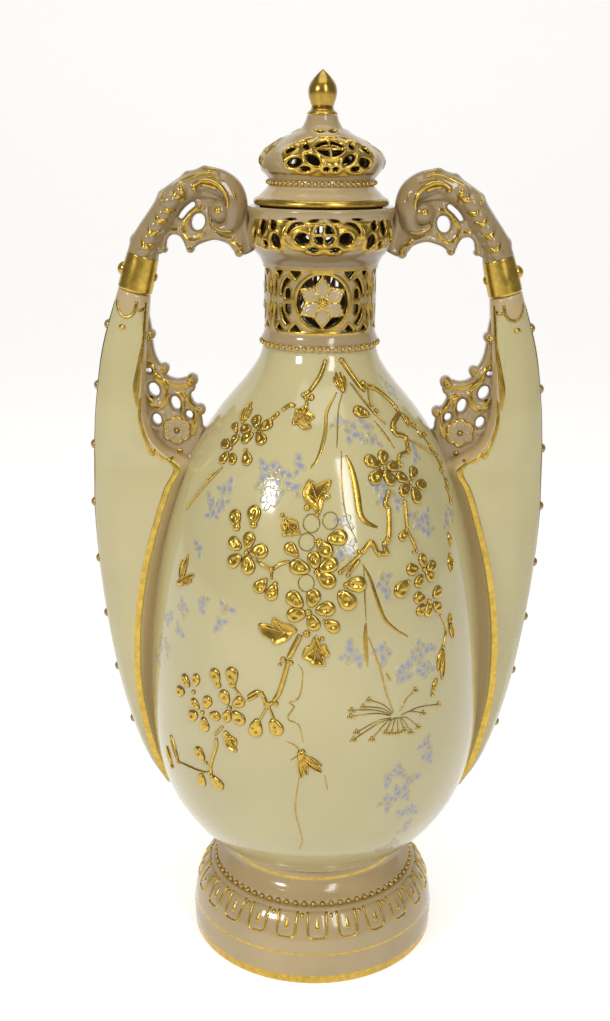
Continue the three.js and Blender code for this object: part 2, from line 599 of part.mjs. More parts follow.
// Horn: a melon slice from the band to a point low on the body.
// Each row is [share of the way up from the tip to the band, spine, front edge, half depth]: the
// spine as a share of the horn's reach, the front edge in mm from the body's widest radius.
const hornTop = bandLow[1] - SEAM;
const hornTip = Z_BELLY + HORN_TIP_UP;
const HORN = [
  [0, -0.22, -7.6, 0.10], [0.06, 0.12, -1.8, 0.42], [0.14, 0.40, 2.0, 0.68], [0.24, 0.64, 4.8, 0.86],
  [0.36, 0.83, 4.4, 0.97], [0.48, 0.95, 0.6, 1.0], [0.58, 1.0, -5.4, 0.98], [0.655, 0.99, -12.0, 0.94],
  [0.70, 0.97, -1.6, 0.88], [0.80, 0.90, 3.4, 0.76], [0.90, 0.75, 1.6, 0.62],
];
const HORN_ROUND = [[0, 0.05], [0.16, 0.46], [0.42, 0.78], [0.76, 0.96], [1, 1]];
function hornRing(z, spine, front, root, halfDepth) {
  const outline = [
    ...HORN_ROUND.map(([share, depth]) => [lerp(spine, front, share), depth]),
    [front - 1.2, 0.86], [root, 0.6],
  ];
  const side = (sign) => outline.map(([x, d]) => new THREE.Vector3(x, sign * halfDepth * d, z));
  return [...side(1), ...side(-1).reverse()];
}
const roundTop = Array.from({ length: 14 }, (_, k) => {
  const a = Math.PI * (k + 0.5) / 7;
  const across = (BAND_R - 0.3) * Math.cos(a);
  return new THREE.Vector3(
    bandLow[0] + across * bandAlong.z, (BAND_R + 0.6) * Math.sin(a), hornTop - across * bandAlong.x);
});
const hornBody = (grow) => loft([
  ...HORN.map(([h, reach, edge, depth]) => {
    const z = lerp(hornTip, hornTop, h);
    const spine = BELLY_R + HORN_REACH * reach + grow;
    const front = BELLY_R + edge;
    const root = h < HORN_FREE ? Math.min(bellyRadius(z) - HORN_ROOT, front - 2) : front - HORN_ROOT;
    return hornRing(z, spine, front, root - grow, HORN_HALF_DEPTH * depth + grow);
  }),
  roundTop,
]);

// The horn's spine and front edge at a height, from its rows.
function hornAt(z) {
  const share = (z - hornTip) / (hornTop - hornTip);
  const above = Math.max(HORN.findIndex((row) => row[0] >= share), 1);
  const [low, high] = share > HORN.at(-1)[0] ? HORN.slice(-2) : [HORN[above - 1], HORN[above]];
  const t = (share - low[0]) / (high[0] - low[0]);
  return {
    spine: BELLY_R + HORN_REACH * lerp(low[1], high[1], t), front: BELLY_R + lerp(low[2], high[2], t),
  };
}

const hornKnobs = Array.from({ length: KNOBS }, (_, i) => {
  const z = Z_MOUTH - KNOB_DROP - i * KNOB_PITCH;
  return ball(hornAt(z).spine - KNOB_SET, 0, z, KNOB_R);
});
const horn = without(joined([hornBody(0), ...hornKnobs]), [bellyTrim]);

// Arm: it rises from the band, turns over and curls into a volute against the gallery.
const ARM = [
  [37.4, -9.2], [32.9, -1.2], [25.4, 5.4], [15.6, 7.2], [8.0, 4.3], [4.8, -1.4], [6.0, -6.8],
  [10.0, -9.0], [13.6, -6.8],
];
const ARM_SIZES = [
  [5.3, 0.84], [5.5, 0.88], [6.0, 0.94], [5.9, 1.0], [6.3, 1.0], [6.6, 1.0], [6.1, 0.98], [5.0, 0.92],
  [3.9, 0.82], [2.9, 0.7], [2.0, 0.56],
].map(([halfWidth, share]) => [halfWidth, share * ARM_HALF_DEPTH]);
const armFoot = bandAxis.getPoint(1).addScaledVector(bandAlong, SEAM);
const armStart = armFoot.clone().addScaledVector(bandAlong, KNOB_R);
const armCurve = curveThrough([[armFoot.x, armFoot.z], [armStart.x, armStart.z], ...ARM.map(fromMouth)]);
const armBody = (grow) => limb(armCurve, ARM_SIZES, 15, 8, grow);
const eye = fromMouth([10.4, -2.8]);
const armKnobs = [[16.6, 13.2], [25.6, 10.6], [36.6, 3.4], [45.4, -13.0], [33.6, -16.8]].map(fromMouth);
const scrollArm = without(joined([
  armBody(0), ball(eye[0], 0, eye[1], EYE_R), ...armKnobs.map(([x, z]) => ball(x, 0, z, KNOB_R)),
]), [galleryTrim]);

// Strapwork: the pierced web under the arm, with a cusped lower edge.
const STRAP = [
  [-2, -18.8], [2.1, -20.0], [4.9, -17.6], [9.1, -15.8], [12.1, -13.6], [16.6, -14.5], [19.7, -16.2],
  [22.0, -18.5], [24.3, -16.7], [27.2, -13.7], [30.0, -12.4], [34.0, -13.8],
  [37.0, -9.0], [31.0, -1.0], [22.0, 6.0], [6.0, 4.0], [0.0, -6.0],
];
const voluteCurl = ovalHole(fromMouth([10.4, 0]), 7.4, 8.6);
const strapHoles = [
  ovalHole(fromMouth([19.2, -6.0]), 2.7, 3.6), ovalHole(fromMouth([24.0, -1.8]), 1.2, 3.8, 45),
];
const strapwork = without(
  plate(STRAP.map(fromMouth), STRAP_HALF_DEPTH, PLATE_EDGE),
  [...strapHoles, armBody(SEAM), voluteCurl, galleryTrim]);

// Bracket: the openwork that ties the horn to the shoulder, with a rosette on each face.
const rosetteZ = Z_MOUTH - ROSETTE_DROP;
const rosetteX = bellyRadius(rosetteZ) + BRACKET_STAND;
const fromRosette = ([x, z]) => [rosetteX + x, rosetteZ + z];
const BRACKET = [
  [9.6, 39.0], [8.2, 33.0], [7.4, 28.6], [4.6, 27.6], [3.4, 24.0], [-0.2, 22.4], [-3.8, 23.6], [-6.6, 23.0],
  [-8.0, 20.6], [-6.2, 16.2], [-7.4, 12.6], [-10.0, 11.0], [-11.2, 8.6], [-10.4, 4.6], [-14.0, 1.0],
  [-6.0, -22.0], [3.0, -19.0],
];
const bracketBack = [-12, -4, 12, 30, 38].map((rise) => [
  hornAt(rosetteZ + rise).front - BRACKET_LAP, rosetteZ + rise]);
const bracketHoles = [
  ovalHole(fromRosette([10.2, 25.8]), 1.1, 1.5), ovalHole(fromRosette([9.0, 15.9]), 2.5, 3.1),
  ovalHole(fromRosette([0.3, 10.8]), 2.4, 2.9), ovalHole(fromRosette([-5.6, 6.8]), 1.5, 1.8),
  ovalHole(fromRosette([8.2, 3.9]), 2.1, 2.6),
];
const bracket = without(
  plate([...BRACKET.map(fromRosette), ...bracketBack], BRACKET_HALF_DEPTH, PLATE_EDGE),
  [...bracketHoles, hornBody(SEAM), bellyTrim]);

// Rosette: petals round a button, luted onto the bracket's face.
function rosette(side) {
  const outline = Array.from({ length: 2 * ROSETTE_PETALS }, (_, k) => {
    const r = k % 2 === 0 ? ROSETTE_R : ROSETTE_R * 0.78;
    const a = Math.PI * k / ROSETTE_PETALS;
    return [rosetteX + r * Math.cos(a), rosetteZ + r * Math.sin(a)];
  });
  const disc = plate(outline, ROSETTE_RISE / 2, 0);
  const seat = BRACKET_HALF_DEPTH + ROSETTE_RISE / 2;
  const button = solid(new THREE.SphereGeometry(1.7, 6, 4).rotateX(Math.PI / 2)
    .translate(rosetteX, ROSETTE_RISE / 2, rosetteZ));
  const face = joined([disc, button]).translate([0, seat, 0]);
  const trimmed = without(face, [bracket, bellyTrim, hornBody(SEAM)]);
  return side > 0 ? trimmed : trimmed.mirror([0, 1, 0]);
}

const vase = new THREE.Group();
const cover = new THREE.Group();

function place(group, name, manifold, finish) {
  const mesh = new THREE.Mesh(geometryOf(manifold), new THREE.MeshStandardMaterial(finish));
  mesh.name = name;
  group.add(mesh);
}

place(vase, 'foot_base', footBase, BLUSH);
place(vase, 'foot_bead_row', footBeads, GILT);
place(vase, 'foot_cove', cove, BLUSH);
place(vase, 'body', belly, IVORY);
place(vase, 'neck_bead_row', neckBeads, GILT);
place(vase, 'neck_collar', neckCollar, BLUSH);
place(vase, 'mouth_gallery', gallery, BLUSH);

for (const [side, mirrored] of [['right', false], ['left', true]]) {
  const handed = (part) => (mirrored ? part.mirror([1, 0, 0]) : part);
  place(vase, `${side}_horn`, handed(horn), IVORY);
  place(vase, `${side}_gilt_band`, handed(giltBand), GILT);
  place(vase, `${side}_scroll_arm`, handed(scrollArm), BLUSH);
  place(vase, `${side}_arm_strapwork`, handed(strapwork), BLUSH);
  place(vase, `${side}_bracket`, handed(bracket), BLUSH);
  place(vase, `${side}_rosette_back`, handed(rosette(1)), GILT);
  place(vase, `${side}_rosette_front`, handed(rosette(-1)), GILT);
}

place(cover, 'cover_rim', coverRim, GILT);
place(cover, 'cover_skirt', coverSkirt, BLUSH);
place(cover, 'cover_bead_row', coverBeads, GILT);
place(cover, 'cover_dome', dome, BLUSH);
place(cover, 'finial_collar', finialCollar, GILT);
place(cover, 'finial_bud', finialBud, GILT);

const lidded = new THREE.Group();
lidded.add(vase, cover);
export default lidded;
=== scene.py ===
import math

import bmesh
import bpy
import numpy as np
from mathutils import Matrix, Vector
from mathutils.bvhtree import BVHTree


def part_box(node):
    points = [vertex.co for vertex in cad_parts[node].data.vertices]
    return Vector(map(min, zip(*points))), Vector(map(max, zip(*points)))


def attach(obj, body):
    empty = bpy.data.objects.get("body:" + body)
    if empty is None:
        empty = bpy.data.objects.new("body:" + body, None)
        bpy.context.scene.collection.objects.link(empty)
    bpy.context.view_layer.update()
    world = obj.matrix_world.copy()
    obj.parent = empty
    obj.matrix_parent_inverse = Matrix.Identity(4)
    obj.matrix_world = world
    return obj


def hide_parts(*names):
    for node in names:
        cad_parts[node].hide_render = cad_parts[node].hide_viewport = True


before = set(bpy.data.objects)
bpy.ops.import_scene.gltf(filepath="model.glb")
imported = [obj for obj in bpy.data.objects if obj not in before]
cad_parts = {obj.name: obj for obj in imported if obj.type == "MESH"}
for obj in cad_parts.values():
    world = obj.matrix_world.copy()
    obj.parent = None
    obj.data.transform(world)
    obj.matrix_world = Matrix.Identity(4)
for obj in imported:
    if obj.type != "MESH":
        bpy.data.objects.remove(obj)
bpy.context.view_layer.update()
scene = bpy.context.scene

# Camera: the photograph was taken from a little above the cover, looking down at the body.
# Its place, tilt, roll and focal length were solved from the rims of the vase.
CAMERA_PLACE = (-0.0052, -0.5178, 0.349)
CAMERA_DOWN = math.radians(16.68)
CAMERA_ROLL = math.radians(0.57)
CAMERA_LENS = 45.24
camera_data = bpy.data.cameras.new("camera")
camera_data.lens = CAMERA_LENS
camera_data.sensor_width = 36
camera = bpy.data.objects.new("camera", camera_data)
camera.matrix_world = (
    Matrix.Translation(CAMERA_PLACE)
    @ Matrix.Rotation(math.pi / 2 - CAMERA_DOWN, 4, "X")
    @ Matrix.Rotation(CAMERA_ROLL, 4, "Z"))
scene.collection.objects.link(camera)
scene.camera = camera

# Studio: a pale sweep of paper under and behind the vase, a small soft box at the left, a tall
# one at the right and a wide one overhead. The paper shows white and keeps the vase's shadow,
# and it rises so far back that a camera behind the vase still stands in front of it.
PAPER = (0.93, 0.92, 0.905)
PAPER_GLOW = 0.60            # added for the camera, so that the paper shows white
SWEEP_FRONT, SWEEP_BACK, SWEEP_RISE, SWEEP_HALF = -2.6, 1.8, 1.9, 2.6
BEND_R = 0.5
bend = [(SWEEP_BACK - BEND_R + BEND_R * math.sin(a), BEND_R - BEND_R * math.cos(a))
        for a in np.linspace(0, math.pi / 2, 12)]
sweep_line = [(SWEEP_FRONT, 0.0)] + bend + [(SWEEP_BACK, SWEEP_RISE)]
sweep_mesh = bpy.data.meshes.new("paper_sweep")
sweep_mesh.from_pydata(
    [(x, y, z) for y, z in sweep_line for x in (-SWEEP_HALF, SWEEP_HALF)], [],
    [(2 * i, 2 * i + 1, 2 * i + 3, 2 * i + 2) for i in range(len(sweep_line) - 1)])
sweep_mesh.shade_smooth()
sweep = bpy.data.objects.new("paper_sweep", sweep_mesh)
scene.collection.objects.link(sweep)

paper = bpy.data.materials.new("paper")
paper.use_nodes = True
paper_nodes, paper_links = paper.node_tree.nodes, paper.node_tree.links
paper_shader = paper_nodes["Principled BSDF"]
paper_shader.inputs["Base Color"].default_value = (*PAPER, 1)
paper_shader.inputs["Roughness"].default_value = 0.6
paper_shader.inputs["Emission Color"].default_value = (*PAPER, 1)
paper_path = paper_nodes.new("ShaderNodeLightPath")
seen = paper_path.outputs["Is Camera Ray"]
for ray in ("Is Glossy Ray", "Is Transmission Ray"):
    either = paper_nodes.new("ShaderNodeMath")
    either.operation = "MAXIMUM"
    paper_links.new(seen, either.inputs[0])
    paper_links.new(paper_path.outputs[ray], either.inputs[1])
    seen = either.outputs[0]
glow = paper_nodes.new("ShaderNodeMath")
glow.operation = "MULTIPLY"
glow.inputs[1].default_value = PAPER_GLOW
paper_links.new(seen, glow.inputs[0])
paper_links.new(glow.outputs[0], paper_shader.inputs["Emission Strength"])
sweep_mesh.materials.append(paper)

WORLD_LIGHT = 0.27            # the camera itself sees the world white
WORLD_COLOUR = (1.0, 0.99, 0.97)
world = bpy.data.worlds.new("studio")
scene.world = world
world.use_nodes = True
world_nodes, world_links = world.node_tree.nodes, world.node_tree.links
world_nodes["Background"].inputs["Color"].default_value = (*WORLD_COLOUR, 1)
world_path = world_nodes.new("ShaderNodeLightPath")
world_strength = world_nodes.new("ShaderNodeMath")
world_strength.operation = "MAXIMUM"
world_strength.inputs[1].default_value = WORLD_LIGHT
world_links.new(world_path.outputs["Is Camera Ray"], world_strength.inputs[0])
world_links.new(world_strength.outputs[0], world_nodes["Background"].inputs["Strength"])
scene.view_settings.view_transform = "Standard"


def soft_box(name, place, target, size, power):
    light = bpy.data.lights.new(name, "AREA")
    light.shape = "RECTANGLE"
    light.size, light.size_y = size
    light.energy = power
    lamp = bpy.data.objects.new(name, light)
    aim = (Vector(target) - Vector(place)).to_track_quat("-Z", "Y")
    lamp.matrix_world = Matrix.Translation(place) @ aim.to_matrix().to_4x4()
    scene.collection.objects.link(lamp)


VASE_MIDDLE = (0, 0, 0.2)
soft_box("left_box", (-0.72, -0.80, 0.73), VASE_MIDDLE, (0.20, 0.22), 4.2)
soft_box("right_box", (0.44, -0.94, 0.80), VASE_MIDDLE, (0.18, 0.75), 3.8)
soft_box("top_box", (0, -0.1, 1.3), VASE_MIDDLE, (0.9, 0.9), 4.0)

# Foot: a hollow ring of blush-glazed porcelain, thrown and turned, with a rounded shoulder.
# Gilt lines run round it, and 24 raised lappets are modelled on the shoulder under the beads.
MM = 0.001
ROUND = 192                   # facets round the widest pieces
BLUSH = (0.585, 0.440, 0.228)
GLAZE_SHADE = (0.17, 0.105, 0.035)
GILT = (0.60, 0.400, 0.065)
DEEP_GILT = (0.30, 0.185, 0.03)
GILT_SHADE = (0.11, 0.058, 0.012)


def node_mm(node):
    low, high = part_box(node)
    return np.array(low) / MM, np.array(high) / MM


def add_share(made, label, values):
    """A number for each point, or one for all of them, that a material reads by its label."""
    layer = made.data.attributes.new(label, "FLOAT", "POINT")
    layer.data.foreach_set("value", np.full(len(made.data.vertices), values, np.float32))


def piece_of(name, points, faces, gilt):
    """A smooth-shaded object from points in mm; gilt is the distance in mm inside the gilding."""
    mesh = bpy.data.meshes.new(name)
    mesh.from_pydata((np.asarray(points) * MM).tolist(), [], faces)
    mesh.shade_smooth()
    made = bpy.data.objects.new(name, mesh)
    scene.collection.objects.link(made)
    add_share(made, "gilt", gilt)
    return made


def finish_piece(made, body, slot, material, *nodes):
    made.data.materials.clear()
    made.data.materials.append(material)
    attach(made, body)
    if nodes:
        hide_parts(*nodes)


def node_in(tree, kind, **settings):
    made = tree.nodes.new(kind)
    for key, value in settings.items():
        setattr(made, key, value)
    return made


def glazed(name, ground, tint, gloss, second=None):
    """A glazed ground with burnished gold laid over it where the gilt distance is above zero.

    A second ground shows where the distance named blush is above zero. The share named hollow darkens the
    glaze and the gold: painted shade in recesses, under overhangs and on inner faces, the brown outline at
    the foot of raised paste, and in some pieces an even darker tone of their own, such as gold that isn't
    burnished or glaze dulled by gold powder."""
    material = bpy.data.materials.new(name)
    material.use_nodes = True
    tree, links = material.node_tree, material.node_tree.links
    shader = tree.nodes["Principled BSDF"]

    def noise(scale, detail):
        made = node_in(tree, "ShaderNodeTexNoise")
        made.inputs["Scale"].default_value = scale
        made.inputs["Detail"].default_value = detail
        links.new(place.outputs["Object"], made.inputs["Vector"])
        return made.outputs["Fac"]

    def ramp(value, low, high, to_low=0.0, to_high=1.0):
        made = node_in(tree, "ShaderNodeMapRange")
        made.inputs["From Min"].default_value = low
        made.inputs["From Max"].default_value = high
        made.inputs["To Min"].default_value = to_low
        made.inputs["To Max"].default_value = to_high
        links.new(value, made.inputs["Value"])
        return made.outputs["Result"]

    def mix(factor, first, second):
        made = node_in(tree, "ShaderNodeMix", data_type="RGBA")
        links.new(factor, made.inputs[0])
        for socket, value in ((made.inputs[6], first), (made.inputs[7], second)):
            if isinstance(value, tuple):
                socket.default_value = (*value, 1)
            else:
                links.new(value, socket)
        return made.outputs[2]

    def add(first, second):
        made = node_in(tree, "ShaderNodeMath", operation="ADD")
        links.new(first, made.inputs[0])
        links.new(second, made.inputs[1])
        return made.outputs[0]

    place = node_in(tree, "ShaderNodeTexCoord")
    gilt = node_in(tree, "ShaderNodeAttribute", attribute_name="gilt")
    wobble = ramp(noise(900, 2), 0.3, 0.7, -0.03, 0.03)
    laid = ramp(add(gilt.outputs["Fac"], wobble), -0.05, 0.05)
    cloud = ramp(noise(38, 3), 0.3, 0.7)
    glaze = mix(cloud, ground, tint)
    if second:
        tone = node_in(tree, "ShaderNodeAttribute", attribute_name="blush")
        glaze = mix(ramp(add(tone.outputs["Fac"], wobble), -0.15, 0.15), glaze, second)
    # Painted shade, and in some pieces an even dull tone: the share named hollow mixes the glaze and the
    # gold towards dark colours.
    hollow = node_in(tree, "ShaderNodeAttribute", attribute_name="hollow")
    glaze = mix(hollow.outputs["Fac"], glaze, GLAZE_SHADE)
    worn = ramp(noise(420, 4), 0.32, 0.62, 0.5)
    gold = mix(worn, DEEP_GILT, GILT)
    gold = mix(hollow.outputs["Fac"], gold, GILT_SHADE)
    links.new(mix(laid, glaze, gold), shader.inputs["Base Color"])
    links.new(laid, shader.inputs["Metallic"])
    brushed = ramp(noise(260, 3), 0.3, 0.7, 0.20, 0.34)
    rough = node_in(tree, "ShaderNodeMix")
    links.new(laid, rough.inputs[0])
    rough.inputs[2].default_value = gloss
    links.new(brushed, rough.inputs[3])
    links.new(rough.outputs[0], shader.inputs["Roughness"])
    bump = node_in(tree, "ShaderNodeBump")
    bump.inputs["Strength"].default_value = 0.12
    bump.inputs["Distance"].default_value = 0.0004
    links.new(add(noise(150, 2), ramp(laid, 0, 1, 0, 0.5)), bump.inputs["Height"])
    links.new(bump.outputs["Normal"], shader.inputs["Normal"])
    shader.inputs["Coat Weight"].default_value = 0.35
    shader.inputs["Coat Roughness"].default_value = 0.05
    return material


blush = glazed("blush_porcelain", BLUSH, tuple(0.86 * c for c in BLUSH), 0.16)


def eased(profile, radius=0.5):
    """A closed profile with its sharp corners rounded."""
    p = np.array(profile, float)
    out = []
    for before, corner, after in zip(np.roll(p, 1, 0), p, np.roll(p, -1, 0)):
        one, two = before - corner, after - corner
        lengths = np.linalg.norm(one), np.linalg.norm(two)
        if min(lengths) < 1e-6:
            continue
        one, two = one / lengths[0], two / lengths[1]
        if corner[0] < 1e-6 or one @ two < -0.94:
            out.append(corner)
            continue
        reach = min(radius, *(0.45 * length for length in lengths))
        for t in (0, 0.33, 0.67, 1):
            out.append((1 - t) ** 2 * (corner + one * reach) + 2 * t * (1 - t) * corner
                       + t ** 2 * (corner + two * reach))
    return np.array(out)


def turned(name, profile, gilding=(), facets=ROUND):
    """A solid of revolution; gilding is a list of (middle height, half width) of painted lines."""
    rows = [np.array(p, float) for p in profile]
    if rows[0][0] > 0:
        rows.append(rows[0])
    cuts = [z + side for z, half in gilding for side in (-half, 0, half)]
    dense = []
    for low, high in zip(rows[:-1], rows[1:]):
        dense.append(low)
        inside = sorted(t for t in ((z - low[1]) / (high[1] - low[1] + 1e-12) for z in cuts)
                        if 0.001 < t < 0.999)
        dense += [low + (high - low) * t for t in inside]
    if rows[0][0] == 0:
        dense.append(rows[-1])
    dense = np.array(dense)
    count = len(dense)
    turn = np.arange(facets) * 2 * math.pi / facets
    points = np.stack([
        np.outer(dense[:, 0], np.cos(turn)), np.outer(dense[:, 0], np.sin(turn)),
        np.repeat(dense[:, 1:], facets, 1)], -1).reshape(-1, 3)
    faces = []
    ring = np.arange(facets)
    following = (ring + 1) % facets
    loops = range(count - 1) if rows[0][0] == 0 else range(count)
    for i in loops:
        low, high = i * facets, (i + 1) % count * facets
        faces += np.stack([low + ring, low + following, high + following, high + ring], 1).tolist()
    height = points[:, 2]
    gilt = np.full(len(points), -9.0)
    for z, half in gilding:
        gilt = np.maximum(gilt, half - np.abs(height - z))
    made = piece_of(name, points, faces, gilt)
    if rows[0][0] == 0:
        fold = bmesh.new()
        fold.from_mesh(made.data)
        bmesh.ops.remove_doubles(fold, verts=fold.verts, dist=1e-7)
        bmesh.ops.dissolve_degenerate(fold, edges=fold.edges, dist=1e-7)
        fold.to_mesh(made.data)
        fold.free()
        made.data.shade_smooth()
    return made


Z_FOOT_BEADS = node_mm("foot_base")[1][2]
DRUM_TOP = 10.0
FOOT_R = 53.8
FOOT_INSIDE = 46.3
WAIST_R = 37.6
BELLY_WALL = 4.0
SHOULDER_RUN = 16.0           # level half axis of the shoulder's ellipse
SHOULDER_RISE = 24.0
STEP_LINE = (14.2, 0.45)      # height and half width of the painted lines
BASE_LINE = (1.6, 2.5)


def shoulder_r(z):
    rise = np.clip((z - DRUM_TOP) / SHOULDER_RISE, 0, 0.999)
    return FOOT_R - SHOULDER_RUN * (1 - np.sqrt(1 - rise ** 2))


shoulder = [(shoulder_r(z), z) for z in np.linspace(DRUM_TOP, Z_FOOT_BEADS, 26)]
recess = WAIST_R - BELLY_WALL
foot = turned("foot", eased([
    (FOOT_INSIDE, 0), (FOOT_R - 0.5, 0), (FOOT_R, 0.9), (FOOT_R + 0.25, DRUM_TOP), *shoulder[1:],
    (recess, Z_FOOT_BEADS), (recess + 2, DRUM_TOP + 8), (FOOT_INSIDE, 4)]), [STEP_LINE, BASE_LINE])
finish_piece(foot, "vase", "blush_glaze", blush, "foot_base")

# Lappets: a row of tongues trailed in raised paste on the foot's shoulder and gilded, each a
# round-ended U with a drop inside it, and a dot between it and the next one.
LAPPETS = 24
FRONT_TURN = math.radians(2)  # the vase stands turned a little to the right
LAPPET_HALF = 4.0
LAPPET_TOP, LAPPET_FOOT = 30.3, 20.9
PASTE = 0.5                   # how far a trailed line stands up


def ring_faces(rings, sides):
    """The four-sided faces between rings of the same number of points."""
    k = np.arange(sides)
    n = (k + 1) % sides
    faces = []
    for a in range(0, (rings - 1) * sides, sides):
        b = a + sides
        faces += np.stack([a + k, a + n, b + n, b + k], 1).tolist()
    return faces


def ridge(place, path, half_widths, rise, sides=6, sink=0.25):
    """A trailed line: a round-backed strip along a path of (u, v) points of a surface."""
    path = np.array(path, float)
    half_widths = np.broadcast_to(half_widths, len(path)).astype(float)
    along = np.gradient(path, axis=0)
    along /= np.maximum(np.linalg.norm(along, axis=1), 1e-9)[:, None]
    across = np.stack([-along[:, 1], along[:, 0]], 1)
    arc = np.linspace(0, math.pi, sides)
    lift = np.append(np.sin(arc), [-sink / rise, -sink / rise])
    reach = np.append(np.cos(arc), [-0.96, 0.96])
    uv = path[:, None] + across[:, None] * (half_widths[:, None] * reach)[..., None]
    height = np.broadcast_to(rise * lift, uv.shape[:2]) * np.clip(
        half_widths / half_widths.max(), 0.25, 1)[:, None]
    points = place(uv[..., 0].ravel(), uv[..., 1].ravel(), height.ravel())
    ring = len(reach)
    faces = ring_faces(len(path), ring)
    faces.append(tuple(range(ring))[::-1])
    faces.append(tuple(range((len(path) - 1) * ring, len(path) * ring)))
    return points, faces


def boss(place, centre, radii, profile, turn=0.0, stretch=(1, 1)):
    """A raised pad: rings of (share of the radius, rise) from its edge in, closed underneath."""
    radii = np.atleast_1d(radii)
    steps = max(len(radii), 14)
    radii = np.resize(radii, steps)
    angle = np.arange(steps) * 2 * math.pi / steps
    rings = [(0.97, -0.25), *profile]
    u, v, w = [], [], []
    for share, lift in rings:
        x = share * radii * np.cos(angle) * stretch[0]
        y = share * radii * np.sin(angle) * stretch[1]
        u.append(centre[0] + x * math.cos(turn) - y * math.sin(turn))
        v.append(centre[1] + x * math.sin(turn) + y * math.cos(turn))
        w.append(np.full(steps, lift))
    u.append([centre[0]])
    v.append([centre[1]])
    w.append([rings[-1][1]])
    points = place(np.concatenate(u), np.concatenate(v), np.concatenate(w))
    faces = [tuple(range(steps))[::-1]] + ring_faces(len(rings), steps)
    last = (len(rings) - 1) * steps
    faces += [(last + k, last + (k + 1) % steps, last + steps) for k in range(steps)]
    return points, faces


def gathered(parts):
    """Many (points, faces) as one."""
    points, faces, count = [], [], 0
    for part_points, part_faces in parts:
        points.append(part_points)
        faces += [tuple(index + count for index in face) for face in part_faces]
        count += len(part_points)
    return np.concatenate(points), faces


def on_shoulder(u, z, lift):
    """A point of the shoulder facing the front: u mm to the right of the middle, at a height."""
    slope = (shoulder_r(z + 0.05) - shoulder_r(z - 0.05)) / 0.1
    out = 1 / np.sqrt(1 + slope ** 2)
    radius = shoulder_r(z) + lift * out
    turn = u / shoulder_r(z)
    return np.stack([radius * np.sin(turn), -radius * np.cos(turn), z - lift * out * slope], -1)


CORNER_WIDE, CORNER_TALL = 2.6, 2.0
corner = [(LAPPET_HALF - CORNER_WIDE * (1 - math.sin(a)), LAPPET_FOOT + CORNER_TALL * (1 - math.cos(a)))
          for a in np.linspace(0, math.pi / 2, 7)]
right_side = [*corner, *((LAPPET_HALF, z) for z in np.linspace(LAPPET_FOOT + 3.0, LAPPET_TOP, 8))]
u_line = [(-u, z) for u, z in right_side[::-1]] + right_side
drop_line = [(0, z) for z in np.linspace(23.9, 29.8, 9)]
drop_width = [0.5, 0.95, 1.0, 0.85, 0.68, 0.55, 0.45, 0.38, 0.3]
panel = [(0, z) for z in np.linspace(LAPPET_FOOT + 0.4, LAPPET_TOP, 8)]
between = math.pi * (FOOT_R - 8) / LAPPETS
paste, paste_faces = gathered([
    ridge(on_shoulder, u_line, 0.5, PASTE),
    ridge(on_shoulder, drop_line, drop_width, 0.7),
    boss(on_shoulder, (between, 29.2), 0.85, [(1, 0), (0.8, 0.4), (0.35, 0.6)]),
])
pad, pad_faces = ridge(on_shoulder, panel, LAPPET_HALF - 0.3, 0.3, sides=8)


def mesh_of(name, points, faces, gilt):
    made = piece_of(name, points, faces, gilt)
    mesh = made.data
    bpy.data.objects.remove(made)
    return mesh


def node_tree(name, sizes):
    """An empty node tree with a mesh in, a mesh out and named sizes of (kind, value)."""
    tree = bpy.data.node_groups.new(name, "GeometryNodeTree")
    tree.interface.new_socket("Mesh", in_out="INPUT", socket_type="NodeSocketGeometry")
    for label, (kind, value) in sizes.items():
        socket = tree.interface.new_socket(label, in_out="INPUT", socket_type=kind)
        if value is not None:
            socket.default_value = value
    tree.interface.new_socket("Mesh", in_out="OUTPUT", socket_type="NodeSocketGeometry")
    return tree, tree.nodes.new("NodeGroupInput"), tree.nodes.new("NodeGroupOutput")


def grown(name, mesh, tree, sizes):
    """Runs a node tree on a mesh and keeps the result as a plain mesh."""
    seed = bpy.data.objects.new(name + "_seed", mesh)
    scene.collection.objects.link(seed)
    modifier = seed.modifiers.new("grow", "NODES")
    modifier.node_group = tree
    for item in tree.interface.items_tree:
        if item.item_type == "SOCKET" and item.in_out == "INPUT" and item.name in sizes:
            modifier[item.identifier] = sizes[item.name]
    ready = seed.evaluated_get(bpy.context.evaluated_depsgraph_get())
    result = bpy.data.meshes.new_from_object(ready)
    bpy.data.objects.remove(seed)
    result.name = name
    made = bpy.data.objects.new(name, result)
    scene.collection.objects.link(made)
    return made


def wire(tree, *joins):
    """Links, each given as (node, its output, node, its input)."""
    for source, output, target, entry in joins:
        tree.links.new(source.outputs[output], target.inputs[entry])


def close_tree(tree, last, group_in, group_out):
    """Every tree ends alike: real geometry, then its finish."""
    real = node_in(tree, "GeometryNodeRealizeInstances")
    finish = node_in(tree, "GeometryNodeSetMaterial")
    wire(tree, (last, 0, real, 0), (real, 0, finish, "Geometry"),
         (group_in, "Finish", finish, "Material"), (finish, 0, group_out, 0))


